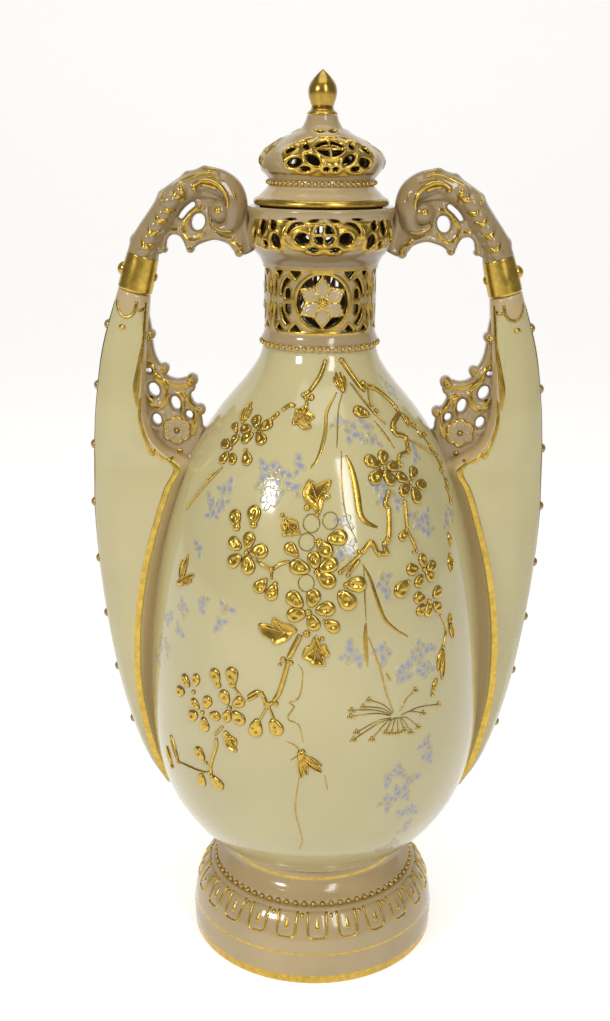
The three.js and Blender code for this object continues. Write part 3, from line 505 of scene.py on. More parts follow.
def ring_of_copies():
    """A tree that sets copies of its mesh round the vase's axis."""
    tree, group_in, group_out = node_tree("ring_of_copies", {
        "Copies": ("NodeSocketInt", 24), "Turn": ("NodeSocketFloat", 0.0),
        "Finish": ("NodeSocketMaterial", None)})
    line = node_in(tree, "GeometryNodeMeshLine")
    line.inputs["Offset"].default_value = (0, 0, 0)
    index = node_in(tree, "GeometryNodeInputIndex")
    share = node_in(tree, "ShaderNodeMath", operation="DIVIDE")
    whole = node_in(tree, "ShaderNodeMath", operation="MULTIPLY_ADD")
    whole.inputs[1].default_value = 2 * math.pi
    turn = node_in(tree, "ShaderNodeCombineXYZ")
    copies = node_in(tree, "GeometryNodeInstanceOnPoints")
    wire(tree, (group_in, "Copies", line, "Count"), (index, 0, share, 0), (group_in, "Copies", share, 1),
         (share, 0, whole, 0), (group_in, "Turn", whole, 2), (whole, 0, turn, "Z"),
         (line, 0, copies, "Points"), (group_in, 0, copies, "Instance"), (turn, 0, copies, "Rotation"))
    close_tree(tree, copies, group_in, group_out)
    return tree


gilding = glazed("burnished_gold", GILT, DEEP_GILT, 0.24)
ring_tree = ring_of_copies()
lappet_lines = grown("lappet_lines", mesh_of("lappet", paste, paste_faces, 9), ring_tree, {
    "Copies": LAPPETS, "Turn": FRONT_TURN, "Finish": gilding})
finish_piece(lappet_lines, "vase", "gilding", gilding)
lappet_pads = grown("lappet_pads", mesh_of("lappet_pad", pad, pad_faces, -9), ring_tree, {
    "Copies": LAPPETS, "Turn": FRONT_TURN, "Finish": blush})
finish_piece(lappet_pads, "vase", "blush_glaze", blush)

# Foot beads: a ring of porcelain pearls, pressed in a mould and luted on where the foot ends. Each
# is touched with gold, and the ground between them stays blush.
FOOT_BEADS = 72
FOOT_PEARL_R = 1.1
BEAD_INTO_RING = 0.55         # share of a bead's radius that is sunk in its ring


def ball_tree():
    """A tree that sets a ball on each of its points."""
    tree, group_in, group_out = node_tree("balls", {
        "Ball": ("NodeSocketFloat", 0.001), "Detail": ("NodeSocketInt", 2),
        "Finish": ("NodeSocketMaterial", None)})
    ball = node_in(tree, "GeometryNodeMeshIcoSphere")
    smooth = node_in(tree, "GeometryNodeSetShadeSmooth")
    copies = node_in(tree, "GeometryNodeInstanceOnPoints")
    wire(tree, (group_in, "Ball", ball, "Radius"), (group_in, "Detail", ball, "Subdivisions"),
         (ball, 0, smooth, "Geometry"), (group_in, 0, copies, "Points"),
         (smooth, 0, copies, "Instance"))
    close_tree(tree, copies, group_in, group_out)
    return tree


balls = ball_tree()


def balls_on(name, places, radius, detail, material, gilt):
    """A ball on each of the places, in mm."""
    spots = bpy.data.meshes.new(name + "_spots")
    spots.from_pydata((np.array(places) * MM).tolist(), [], [])
    made = grown(name, spots, balls, {"Ball": radius * MM, "Detail": detail, "Finish": material})
    add_share(made, "gilt", gilt)
    return made


def pearl_ring(name, node, body, inside, outside, count, pearl_r):
    """A blush ring with its row of gilt pearls, in the place of a bead row's node."""
    low, high = node_mm(node)
    middle = (low[2] + high[2]) / 2
    ring = turned(name + "_ring", eased([
        (inside, low[2]), (outside, low[2]), (outside + 0.25, middle), (outside, high[2]),
        (inside, high[2])], 0.3))
    finish_piece(ring, body, "blush_glaze", blush)
    circle = outside + pearl_r * (1 - BEAD_INTO_RING)
    spots = [(circle * math.cos(turn), circle * math.sin(turn), middle)
             for turn in np.arange(count) * 2 * math.pi / count]
    row = balls_on(name, spots, pearl_r, 2, gilding, 9)
    finish_piece(row, body, "gilding", gilding, node)


pearl_ring("foot_pearls", "foot_bead_row", "vase", recess, node_mm("foot_bead_row")[1][0] - 1.5,
           FOOT_BEADS, FOOT_PEARL_R)

# Cove: the hollow porcelain moulding that draws the foot in to the body, turned and luted between
# the two. It is glazed blush, with one gilt line.
COVE_LINE = (41.2, 0.55)


def curve_between(before, start, end, after, t):
    """Points of the smooth curve from start to end, for t from 0 to 1."""
    return 0.5 * (2 * start + (end - before) * t + (2 * before - 5 * start + 4 * end - after) * t ** 2
                  + (3 * start - before - 3 * end + after) * t ** 3)


def smooth_run(points, step=1.0):
    """Points along a smooth curve through the given ones, about a step apart."""
    p = np.array(points, float)
    p = np.vstack([2 * p[0] - p[1], p, 2 * p[-1] - p[-2]])
    out = []
    for a, b, c, d in zip(p[:-3], p[1:-2], p[2:-1], p[3:]):
        count = max(int(np.linalg.norm(c - b) / step), 1)
        out.append(curve_between(a, b, c, d, np.arange(count)[:, None] / count))
    return np.vstack(out + [p[-2:-1]])


def over(base, rows):
    """Rows of (radius, height over a base) as rows of (radius, height)."""
    return [(radius, base + rise) for radius, rise in rows]


cove_low, cove_high = node_mm("foot_cove")
cove_foot_r = cove_high[0]
cove_wall = smooth_run([
    *over(cove_low[2], [(cove_foot_r, 0), (cove_foot_r - 3.1, 2.2), (cove_foot_r - 5.2, 5.4)]),
    (WAIST_R, cove_high[2])])
cove = turned("cove", eased([
    (recess, cove_low[2]), *cove_wall, (recess, cove_high[2])], 0.2), [COVE_LINE])
finish_piece(cove, "vase", "blush_glaze", blush, "foot_cove")

# Body: an egg of thin cast porcelain, glazed ivory. It keeps its own floor and an open neck, and
# it is luted to the cove below it and to the neck collar above it.
IVORY = (0.640, 0.560, 0.285)
body_low, body_high = node_mm("body")
Z_BODY = body_low[2]
NECK_R = 22.3
BELLY_R = 71.0
NECK_WALL = 3.2
BORE_R = NECK_R - NECK_WALL
BODY_H = body_high[2] - Z_BODY
SWELL = [                     # share of the height, and of the swell beyond the neck
    (0.027, 0.494), (0.073, 0.693), (0.141, 0.872), (0.232, 0.975), (0.336, 1), (0.482, 0.965),
    (0.618, 0.872), (0.732, 0.726), (0.812, 0.574), (0.880, 0.375), (0.935, 0.168), (0.973, 0.050)]
ivory = glazed("ivory_porcelain", IVORY, tuple(0.93 * c for c in IVORY), 0.12)
body_rows = [(WAIST_R, Z_BODY)]
body_rows += [
    (NECK_R + (BELLY_R - NECK_R) * swell, Z_BODY + share * BODY_H) for share, swell in SWELL]
body_rows += [(NECK_R + 0.4, body_high[2])]
body_wall = smooth_run(body_rows, 2.0)
inner_wall = [(max(r - BELLY_WALL, BORE_R), z) for r, z in body_wall[::-3]]
inner_floor = Z_BODY + BELLY_WALL
inner_wall = [(r, z) for r, z in inner_wall if z > inner_floor + 2]
body = turned("body", [
    (0, Z_BODY), *body_wall, (BORE_R, body_high[2]), *inner_wall[1:],
    (WAIST_R - BELLY_WALL, inner_floor), (0, inner_floor)])
finish_piece(body, "vase", "ivory_glaze", ivory, "body")

# Neck pearls: a finer row of the same pressed and gilt pearls, luted on where the body meets the
# neck collar.
NECK_BEADS = 48
NECK_PEARL_R = 1.0
pearl_ring("neck_pearls", "neck_bead_row", "vase", BORE_R, NECK_R + 0.7, NECK_BEADS, NECK_PEARL_R)

# Neck collar: a straight moulded collar cut through by hand with three star roundels and a
# lattice between them. Every cut edge is rounded and gilt, and the petals of the stars are domed.
ROUNDELS = 3
NECK_STEP = 0.36              # size of the facets of the pierced walls
CUT_EDGE = 0.5                # radius of a cut edge
LATTICE_GILT = 1.25           # width of the gilding along the lattice's edges
ROUNDEL_R = 11.0
ROUNDEL_BAR = 0.8
PETAL_REACH = 10.7
PETAL_FLAT = 2.0
PETAL_TIP = math.radians(38)   # half the angle of a petal's point
SEPAL_REACH = 8.0
SEPAL_TIP = math.radians(24)
FRAME = (22.0, 12.1, 3.0)      # half sizes and corner radius of the gilt frame round a panel
FRAME_LINE = 0.65
LATTICE_HOLES = [              # corners: how far from the panel's end, and above its middle
    [(9.9, 11.5), (14.8, 11.5), (12.5, 8.9)],
    [(2.7, 11.2), (6.5, 11.5), (4.5, 9.1)],
    [(5.4, 2.3), (5.7, 4.8), (6.7, 7.2), (8.3, 8.9), (10, 8.3), (8.4, 6.8), (7, 4.6), (6, 2.4)],
    [(7.7, 1.2), (7.8, 4.4), (9.3, 5), (10, 4.2), (10, 1.2)],
    [(1.9, 5.4), (2.4, 2.2), (2.9, 5.4), (2.4, 8.8)],
    [(0, 7), (-0.6, 4.5), (0, 2), (0.6, 4.5)]]


def stroke(u, v, path, half):
    """Distance in mm inside a line of a given half width, through the path's points."""
    nearest = np.full(np.shape(u), 1e9)
    for (x0, y0), (x1, y1) in zip(path[:-1], path[1:]):
        dx, dy = x1 - x0, y1 - y0
        t = np.clip(((u - x0) * dx + (v - y0) * dy) / (dx * dx + dy * dy + 1e-12), 0, 1)
        nearest = np.minimum(nearest, np.hypot(u - x0 - t * dx, v - y0 - t * dy))
    return half - nearest


def outline(u, v, corners):
    """Distance in mm inside a closed outline."""
    corners = list(corners)
    inside = np.zeros(np.shape(u), bool)
    for (x0, y0), (x1, y1) in zip(corners, corners[1:] + corners[:1]):
        crosses = (y0 > v) != (y1 > v)
        inside ^= crosses & (u < (x1 - x0) * (v - y0) / (y1 - y0 + 1e-12) + x0)
    far = -stroke(u, v, corners + corners[:1], 0)
    return np.where(inside, far, -far)


def rounded(depth, edge=CUT_EDGE):
    """How far the surface drops where it is so far inside a rounded cut edge."""
    short = edge - np.clip(depth, 0, edge)
    return np.sqrt(np.maximum(edge ** 2 - short ** 2, 0)) - edge


def wall_profile(outside, inside):
    """Smooth outer and inner profiles, walked by the length along the outer one."""
    fine = smooth_run(np.column_stack([outside, inside]), 0.5)
    length = np.append(0, np.cumsum(np.linalg.norm(np.diff(fine[:, :2], axis=0), axis=1)))
    return length, fine[:, :2], fine[:, 2:]


def on_profile(profile, along, lift=None):
    """Radius and height at a length along a profile: on its outside, lifted, or on its inside."""
    length, outside, inside = profile
    track = inside if lift is None else outside
    radius = np.interp(along, length, track[:, 0])
    height = np.interp(along, length, track[:, 1])
    if lift is None:
        return radius, height
    slope = np.gradient(outside, length, axis=0)
    slope_r = np.interp(along, length, slope[:, 0])
    slope_z = np.interp(along, length, slope[:, 1])
    size = np.hypot(slope_r, slope_z)
    return radius + lift * slope_z / size, height - lift * slope_r / size


def round_axis(degrees, radius, height):
    """A point at an angle from the front, to the right."""
    turn = np.radians(degrees)
    return np.stack([radius * np.sin(turn), -radius * np.cos(turn), height], -1)


def darken(made, values):
    """Shade added where it is darker than what the piece has."""
    layer = made.data.attributes["hollow"]
    have = np.zeros(len(layer.data), np.float32)
    layer.data.foreach_get("value", have)
    layer.data.foreach_set("value", np.maximum(have, values).astype(np.float32))


def heights(made):
    return np.array([vertex.co.z for vertex in made.data.vertices]) / MM


def open_wall(name, columns, rows, pattern, outside, inside, wraps, alike=False):
    """A wall over a grid of columns and rows, open where its pattern's first field is negative.

    The pattern gives, for the grid's points, the distance inside the material, the distance
    inside the gilding, and the relief. The edges of the openings follow the pattern, and not
    the grid. Where both faces are alike, the back has the same relief and gilding."""
    u, v = np.meshgrid(columns, rows)
    solid, gold, relief = pattern(u, v)
    within = solid > 0
    wide = len(columns) if wraps else len(columns) - 1
    step_u, step_v = columns[1] - columns[0], rows[1] - rows[0]
    right = np.roll(solid, -1, 1)
    cut_u = within != (right > 0)
    if not wraps:
        cut_u[:, -1] = False
    cut_v = within[:-1] != within[1:]
    number = np.full((3, *solid.shape), -1)
    total = 0
    for kind, mask in ((0, within), (1, cut_u)):
        number[kind][mask] = total + np.arange(mask.sum())
        total += int(mask.sum())
    number[2][:-1][cut_v] = total + np.arange(cut_v.sum())
    total += int(cut_v.sum())

    share_u = np.clip(solid / (solid - right + 1e-12), 0.08, 0.92)[cut_u]
    share_v = np.clip(solid[:-1] / (solid[:-1] - solid[1:] + 1e-12), 0.08, 0.92)[cut_v]
    at_u = np.concatenate([u[within], u[cut_u] + share_u * step_u, u[:-1][cut_v]])
    at_v = np.concatenate([v[within], v[cut_u], v[:-1][cut_v] + share_v * step_v])

    def at_cuts(field):
        beside = np.roll(field, -1, 1)
        return np.concatenate([
            field[within], (field + (beside - field) * 0.5)[cut_u],
            (0.5 * (field[:-1] + field[1:]))[cut_v]])

    lift = at_cuts(relief)
    front = outside(at_u, at_v, lift)
    back = inside(at_u, at_v, lift)
    gilt_front = at_cuts(gold)

    faces = []
    beside = np.roll(number, -1, 2)
    corner = [number[0][:-1], beside[0][:-1], beside[0][1:], number[0][1:]]
    edge = [number[1][:-1], beside[2][:-1], number[1][1:], number[2][:-1]]
    corner = [c[:, :wide].ravel() for c in corner]
    edge = [e[:, :wide].ravel() for e in edge]
    code = sum((c >= 0).astype(int) << k for k, c in enumerate(corner))
    for kind in range(1, 16):
        cells = np.flatnonzero(code == kind)
        if not len(cells):
            continue
        walk, leaves, enters = [], [], []
        for k in range(4):
            here, there = kind >> k & 1, kind >> (k + 1) % 4 & 1
            if here:
                walk.append(corner[k][cells])
            if here != there:
                (leaves if here else enters).append(len(walk))
                walk.append(edge[k][cells])
        ring = np.stack(walk, 1)
        faces += ring.tolist()
        faces += (ring[:, ::-1] + total).tolist()
        for leave in leaves:
            enter = min(enters, key=lambda place: (place - leave) % len(walk))
            a, b = ring[:, leave], ring[:, enter]
            faces += np.stack([b, a, a + total, b + total], 1).tolist()
    gilt_all = np.concatenate([gilt_front, gilt_front if alike else np.full(total, -1.5)])
    made = piece_of(name, np.concatenate([front, back]), faces, gilt_all)
    # Painted shade: the face is darker where it lies low, most of all down the rounded cut edges, and clear
    # on its raised parts; an inner face that differs from the front is darker all over.
    shade = 0.55 * np.clip((0.3 - lift) / 0.5, 0, 1)
    add_share(made, "hollow", np.concatenate([shade, shade if alike else np.full(total, 0.5)]))
    return made


def pierced_ring(name, profile, panels, turn, pattern, step):
    """A pierced wall right round the axis. Its pattern repeats on every panel, from -1 to 1."""
    length = profile[0][-1]
    radius = profile[1][:, 0].max()
    per_panel = 2 * math.ceil(math.pi * radius / panels / step)
    columns = np.arange(per_panel * panels) * 360 / (per_panel * panels)
    count = math.ceil(length / step)
    rows = (np.arange(count + 2) - 0.5) * length / count
    half = 180 / panels

    def whole(angle, along):
        across = (angle - turn + half) % (2 * half) - half
        inside = np.clip(along, 0, length)
        holes, gold, relief = pattern(across, inside, on_profile(profile, inside, 0.0)[0])
        return np.minimum(holes, np.minimum(along, length - along)), gold, relief

    return open_wall(
        name, columns, rows, whole,
        lambda a, s, lift: round_axis(a, *on_profile(profile, np.clip(s, 0, length), lift)),
        lambda a, s, lift: round_axis(a, *on_profile(profile, np.clip(s, 0, length))), True)


neck_low, neck_high = node_mm("neck_collar")
neck_outside = [
    *over(neck_low[2], [
        (NECK_R + 1.3, 0), (NECK_R + 0.45, 1.7), (NECK_R, 3.6), (NECK_R, 9), (NECK_R, 20)]),
    *over(neck_high[2], [(NECK_R, -3.4), (NECK_R + 0.35, -1.4), (NECK_R + 1, 0)])]
neck_profile = wall_profile(neck_outside, [(BORE_R, z) for _, z in neck_outside])
NECK_MIDDLE = 16.9            # length along the profile to the middle of the roundels


def star(u, v):
    """The six-petalled star of a roundel: its outline, its gilt lines and its domed petals."""
    reach = np.hypot(u, v)
    angle = np.arctan2(u, v)
    fold = (angle + math.pi / 6) % (math.pi / 3) - math.pi / 6
    x, y = reach * np.cos(fold), np.abs(reach * np.sin(fold))
    bow = math.hypot(PETAL_REACH / 2, PETAL_FLAT)
    petal = bow - np.hypot(x - PETAL_REACH / 2, y + PETAL_FLAT)
    tip = (PETAL_REACH - x) * math.sin(PETAL_TIP) - y * math.cos(PETAL_TIP)
    petal = np.minimum(petal, tip)
    seam = reach * np.sin(math.pi / 6 - np.abs(fold))
    fold = (angle % (math.pi / 3)) - math.pi / 6
    sepal = ((SEPAL_REACH - reach * np.cos(fold)) * math.sin(SEPAL_TIP)
             - np.abs(reach * np.sin(fold)) * math.cos(SEPAL_TIP))
    gold = np.maximum(1.05 - petal, np.where(reach < 7.5, 0.42 - seam, -9))
    gold = np.maximum(gold, 0.45 - np.abs(reach - 1.9))
    dome = 0.75 * np.clip(petal / 1.6, 0, 1) - 0.25 * np.exp(-(seam / 0.5) ** 2)
    dome += 0.4 * np.exp(-((petal - 0.55) / 0.4) ** 2)
    veins = 0.14 * np.cos(y * 2 * math.pi / 1.25) * np.clip(petal, 0, 1)
    heart = 0.9 * np.sqrt(np.clip(1 - (reach / 1.7) ** 2, 0, 1))
    return np.maximum(petal, sepal), gold, dome + veins + heart + 0.4 * np.clip(sepal - petal, 0, 1)


def neck_pattern(across, along, radius):
    u = np.abs(np.radians(across) * NECK_R)
    v = np.abs(along - NECK_MIDDLE)
    side = math.pi * NECK_R / ROUNDELS - u
    petal, star_gold, star_relief = star(u, along - NECK_MIDDLE)
    inside_ring = ROUNDEL_R - np.hypot(u, v)
    ring = ROUNDEL_BAR - np.abs(inside_ring)
    lattice = np.minimum.reduce([-outline(side, v, hole) for hole in LATTICE_HOLES])
    solid = np.where(inside_ring > 0, np.maximum(ring, petal), lattice)
    half_wide, half_tall, corner = FRAME
    in_frame = corner - np.hypot(
        np.maximum(u - half_wide + corner, 0), np.maximum(v - half_tall + corner, 0))
    gold = np.maximum.reduce([
        FRAME_LINE - np.abs(in_frame), LATTICE_GILT - solid, ring + 0.2])
    on_star = (petal > 0) & (inside_ring > ROUNDEL_BAR)
    gold = np.where(on_star, star_gold, gold)
    relief = rounded(solid) + np.where(on_star, star_relief, 0)
    relief += 0.3 * np.exp(-(in_frame / 0.6) ** 2) + 0.25 * np.clip(ring + 0.3, 0, 0.6)
    return solid, gold, relief


neck = pierced_ring(
    "neck_collar", neck_profile, ROUNDELS, math.degrees(FRONT_TURN), neck_pattern, NECK_STEP)
# Painted shadow: the top of the collar is darker under the overhang of the gallery.
darken(neck, 0.5 * np.clip((heights(neck) - neck_high[2] + 3.5) / 3, 0, 1))
finish_piece(neck, "vase", "blush_glaze", blush, "neck_collar")

# Mouth gallery: a bulging ring cut through with a medallion between C-scrolls on the front and on
# the back. It carries the mouth, whose inner ledge the cover rests on.
GALLERY_PANELS = 2
GALLERY_MIDDLE = 309.9        # height of the medallions
GALLERY_STEP = 0.40
SCROLL_RISE = 0.4             # how far the gilt scrolls beside an opening stand up
GALLERY_GILT = 1.9            # width of the gilding round the openings

gallery_low, gallery_high = node_mm("mouth_gallery")
Z_GALLERY, Z_MOUTH = gallery_low[2], gallery_high[2]
GALLERY_R = 29.0
MOUTH_BORE = 24.6
gallery_profile = wall_profile(
    over(Z_GALLERY, [
        (NECK_R + 1, 0), (NECK_R + 2.2, 2.2), (GALLERY_R - 1.6, 5.6), (GALLERY_R - 0.1, 9.2),
        (GALLERY_R, 12.8), (GALLERY_R - 0.5, 16.6), (GALLERY_R - 0.2, 18.4)])
    + over(Z_MOUTH, [(GALLERY_R + 0.4, -1.5), (GALLERY_R + 0.4, -0.6), (GALLERY_R - 0.2, 0)]),
    over(Z_GALLERY, [
        (BORE_R, 0), (BORE_R + 1, 2), (BORE_R + 3.8, 6.1), (GALLERY_R - 3.4, 9.4),
        (GALLERY_R - 3.1, 12.8), (GALLERY_R - 4.1, 16.4), (MOUTH_BORE, 18.4)])
    + over(Z_MOUTH, [(MOUTH_BORE, -1.5), (MOUTH_BORE, -0.8), (MOUTH_BORE, 0)]))


def along_at(profile, height):
    """Length along a profile to a height."""
    return np.interp(height, profile[1][:, 1], profile[0])


def oval(u, v, centre, half_wide, half_tall, degrees=0.0):
    turn = math.radians(degrees)
    x, y = u - centre[0], v - centre[1]
    along = x * math.cos(turn) + y * math.sin(turn)
    across = -x * math.sin(turn) + y * math.cos(turn)
    return (1 - np.hypot(along / half_wide, across / half_tall)) * min(half_wide, half_tall)


def cut_holes(u, v, medallion, bars, holes):
    """The distance inside the material, with a medallion that two bars cross and oval holes.

    A hole is (u, v, half width, half height, tilt), and the medallion (centre, half sizes)."""
    centre, half_wide, half_tall = medallion
    inside = oval(u, v, centre, half_wide, half_tall)
    solid = np.maximum(-inside, bars - np.minimum(np.abs(u - centre[0]), np.abs(v - centre[1])))
    for u0, v0, wide, tall, tilt in holes:
        solid = np.minimum(solid, -oval(u, v, (u0, v0), wide, tall, tilt))
    return solid, inside


GALLERY_HOLES = [              # u, v, half sizes and tilt
    (8.5, -1.5, 2.7, 2.3, 0), (4.3, -5.7, 1.9, 0.95, 8), (4, 5.3, 2.2, 0.42, -8),
    (13, 5.7, 2.6, 0.45, -6), (21.2, 3.3, 1.5, 1.9, 10), (19.7, -2.7, 2.1, 2.8, -28),
    (27, 2, 2, 2.9, 18), (25.3, -3.9, 1.3, 1.1, 0), (32.5, -1, 1.1, 2.2, 15)]


def gallery_pattern(across, along, radius):
    u = np.abs(np.radians(across) * GALLERY_R)
    v = along - along_at(gallery_profile, GALLERY_MIDDLE)
    solid, medallion = cut_holes(u, v, ((0, 0), 3.9, 3.7), 0.62, GALLERY_HOLES)
    big_scroll = np.minimum(oval(u, v, (9.6, 0.2), 6.3, 5.4), -oval(u, v, (8.2, -1.2), 4.7, 4.1))
    crescent = np.minimum(big_scroll - 1.15, np.minimum(v - 0.2, u - 8.0))
    solid = np.minimum(solid, -crescent)
    scroll_rim = oval(u, v, (9.6, 0.2), 6.6, 5.7)
    side_rim = oval(u, v, (25.3, 0), 9.2, 6.2)
    gold = np.maximum.reduce([
        GALLERY_GILT - solid, 0.6 - np.abs(side_rim), 0.75 - np.abs(scroll_rim),
        0.5 - np.abs(medallion + 0.3)])
    gold = np.minimum(gold, 5.0 - v)
    relief = rounded(solid) + SCROLL_RISE * np.exp(-((solid - 0.75) / 0.6) ** 2)
    relief += 0.5 * np.exp(-(scroll_rim / 0.8) ** 2)
    relief += 0.6 * np.exp(-((medallion + 0.5) / 0.8) ** 2)
    relief += 0.35 * np.exp(-(side_rim / 0.7) ** 2)
    inset = np.clip(1 - ((along_at(gallery_profile, Z_MOUTH - 1.0) - along) / 1.2) ** 2, 0, 1)
    return solid, gold, relief * (1 - inset)


gallery = pierced_ring(
    "mouth_gallery", gallery_profile, GALLERY_PANELS, math.degrees(FRONT_TURN), gallery_pattern,
    GALLERY_STEP)
# Painted shadow: the gallery is darker on its lower part under the bulge, and a little darker all over.
darken(gallery, np.clip(0.7 * (Z_GALLERY + 6.8 - heights(gallery)) / 3, 0.15, 0.7))
finish_piece(gallery, "vase", "blush_glaze", blush, "mouth_gallery")

# Cover rim: the gilt porcelain edge that the cover rests on, turned in one with a ring below it
# that keeps the cover in its place in the mouth.
LOCATING_R = 24.0
LOCATING_WALL = 2.4
rim_low, rim_high = node_mm("cover_rim")
Z_RIM = Z_MOUTH + 0.2
RIM_R = rim_high[0]
rim = turned("cover_rim", eased([
    (LOCATING_R - LOCATING_WALL, rim_low[2]), (LOCATING_R, rim_low[2]), (LOCATING_R, Z_RIM),
    *over(Z_RIM, [(RIM_R - 1.2, 0), (RIM_R - 0.15, 0.7), (RIM_R, 1.4), (RIM_R - 0.3, 2.3)]),
    (RIM_R - 0.9, rim_high[2]),
    (LOCATING_R - LOCATING_WALL, rim_high[2])], 0.4),
    [((Z_RIM + rim_high[2]) / 2, 1.6)])
finish_piece(rim, "cover", "gilding", blush, "cover_rim")

# Cover skirt: a plain turned hollow of blush-glazed porcelain, one with the rim, that rises from it
# to the bead row.
SKIRT_TOP_R = 20.9
COVER_INSIDE = 18.3
skirt_low, skirt_high = node_mm("cover_skirt")
skirt_wall = smooth_run([
    *over(skirt_low[2], [(RIM_R - 1.2, 0), (RIM_R - 2.6, 1), (22.8, 2.4), (SKIRT_TOP_R + 0.5, 3.8)]),
    (SKIRT_TOP_R, skirt_high[2])], 0.4)
skirt = turned("cover_skirt", eased([
    (LOCATING_R - LOCATING_WALL, skirt_low[2]), *skirt_wall, (COVER_INSIDE, skirt_high[2])], 0.2))
finish_piece(skirt, "cover", "blush_glaze", blush, "cover_skirt")

# Cover pearls: the same pressed and gilt pearls as on the foot, smaller, luted on between the
# skirt and the dome.
COVER_BEADS = 52
COVER_PEARL_R = 0.95
pearl_ring("cover_pearls", "cover_bead_row", "cover", COVER_INSIDE, SKIRT_TOP_R - 0.3, COVER_BEADS,
           COVER_PEARL_R)

# Dome: an onion-shaped shell with three pierced panels of a medallion and scrolls, plain and
# blush between them, and drawn up to a point that carries the finial.
DOME_PANELS = 3
DOME_TURN = 8.0
DOME_STEP = 0.38
DOME_GILT = 2.2               # width of the gilding round the openings
DOME_MEDALLION, DOME_FRAME, DOME_LINE = 341.0, 338.5, 331.7    # heights of their middles
dome_low, dome_high = node_mm("cover_dome")
Z_DOME, Z_COLLAR = dome_low[2], dome_high[2]
DOME_R = dome_high[0]
dome_profile = wall_profile(
    over(Z_DOME, [
        (SKIRT_TOP_R, 0), (DOME_R - 1, 3.7), (DOME_R, 7), (DOME_R - 1.5, 9.9), (DOME_R - 5.9, 12.9),
        (13.3, 16.2), (8.5, 18.8), (6.8, 21.2)]) + [(5.8, Z_COLLAR)],
    over(Z_DOME, [
        (COVER_INSIDE, 0), (COVER_INSIDE + 2, 3.9), (DOME_R - 3.2, 7), (DOME_R - 4, 8.9),
        (DOME_R - 7.8, 11), (11.4, 13.4), (6.4, 15.6), (3.4, 18)]) + [(2.2, Z_COLLAR)])
DOME_HOLES = [                # angle from the panel's middle, height, half sizes in mm and tilt
    (17, 337.2, 3.3, 1.7, 38), (34, 336, 3, 1.9, -12), (42, 340.3, 1.7, 1.9, 20),
    (26.5, 341.6, 1, 2.1, -30), (24, 333.7, 1.9, 0.9, 0), (4.2, 333.6, 1, 0.75, 0),
    (14.5, 347, 1.3, 0.8, 25), (31, 343.6, 1.7, 0.5, -38)]


def dome_pattern(across, along, radius):
    side = np.abs(across)
    u = np.radians(side) * radius
    v = along - along_at(dome_profile, DOME_MEDALLION)
    solid, medallion = cut_holes(u, v, ((0, 0), 5.5, 4.6), 0.6, [(0, 6.6, 1.6, 0.6, 0)])
    arc = 0.45 - np.abs(oval(u, v, (0, -1.0), 4.4, 3.2))
    solid = np.where(medallion > 0, np.maximum(solid, np.where(v > 0, arc, -9)), solid)
    for degrees, height, wide, tall, tilt in DOME_HOLES:
        hole_u = np.radians(side - degrees) * radius
        hole_v = along - along_at(dome_profile, height)
        solid = np.minimum(solid, -oval(hole_u, hole_v, (0, 0), wide, tall, tilt))
    panel = oval(u, along - along_at(dome_profile, DOME_FRAME), (0, 0.2), 19.5, 9.0)
    gold = np.maximum.reduce([
        DOME_GILT - solid, 0.55 - np.abs(medallion + 0.35), 0.45 - np.abs(panel - 0.4)])
    gold = np.where((panel > -0.2) | (solid < 0.8), gold, -9)
    gold = np.maximum(gold, 0.5 - np.abs(along - along_at(dome_profile, DOME_LINE)))
    relief = rounded(solid) + SCROLL_RISE * np.exp(-((solid - 0.7) / 0.55) ** 2)
    relief += 0.5 * np.exp(-((medallion + 0.5) / 0.7) ** 2) + 0.3 * np.exp(-(panel / 0.8) ** 2)
    return solid, gold, relief * np.clip((along - 1.5) / 2, 0, 1)


dome = pierced_ring("cover_dome", dome_profile, DOME_PANELS, DOME_TURN, dome_pattern, DOME_STEP)
finish_piece(dome, "cover", "blush_glaze", blush, "cover_dome")

# Finial: a turned porcelain bud on a turned collar, both gilt all over and luted to the point of
# the dome.
collar_low, collar_high = node_mm("finial_collar")
bud_low, bud_high = node_mm("finial_bud")
BUD_NECK_R = 4.2
BUD_R = 5.6
FINIAL_ROUND = 96
BUD_DULL = 0.28               # share of the bud's gold that isn't burnished
collar = turned("finial_collar", [
    (0, collar_low[2]),
    *eased(over(collar_low[2], [(5.9, 0), (6, 0.7), (5.5, 1.3), (4.9, 1.7), (4.4, 2.4)]), 0.25)[1:-1],
    (BUD_NECK_R, collar_high[2]), (0, collar_high[2])], [(collar_low[2] + 1.5, 3)], FINIAL_ROUND)
finish_piece(collar, "cover", "gilding", gilding, "finial_collar")
BUD_H = bud_high[2] - bud_low[2]
BUD = [                       # share of its height and of its radius
    (0.10, 0.83), (0.25, 0.95), (0.42, 1), (0.6, 0.89), (0.76, 0.62), (0.88, 0.34), (0.96, 0.12)]
bud_wall = smooth_run([(BUD_NECK_R, bud_low[2])] + [
    (BUD_R * share, bud_low[2] + BUD_H * height) for height, share in BUD], 0.5)
bud = turned("finial_bud", [(0, bud_low[2]), *bud_wall, (0, bud_high[2])],
             [(bud_low[2] + 7, 9)], FINIAL_ROUND)
add_share(bud, "hollow", BUD_DULL)
finish_piece(bud, "cover", "gilding", gilding, "finial_bud")

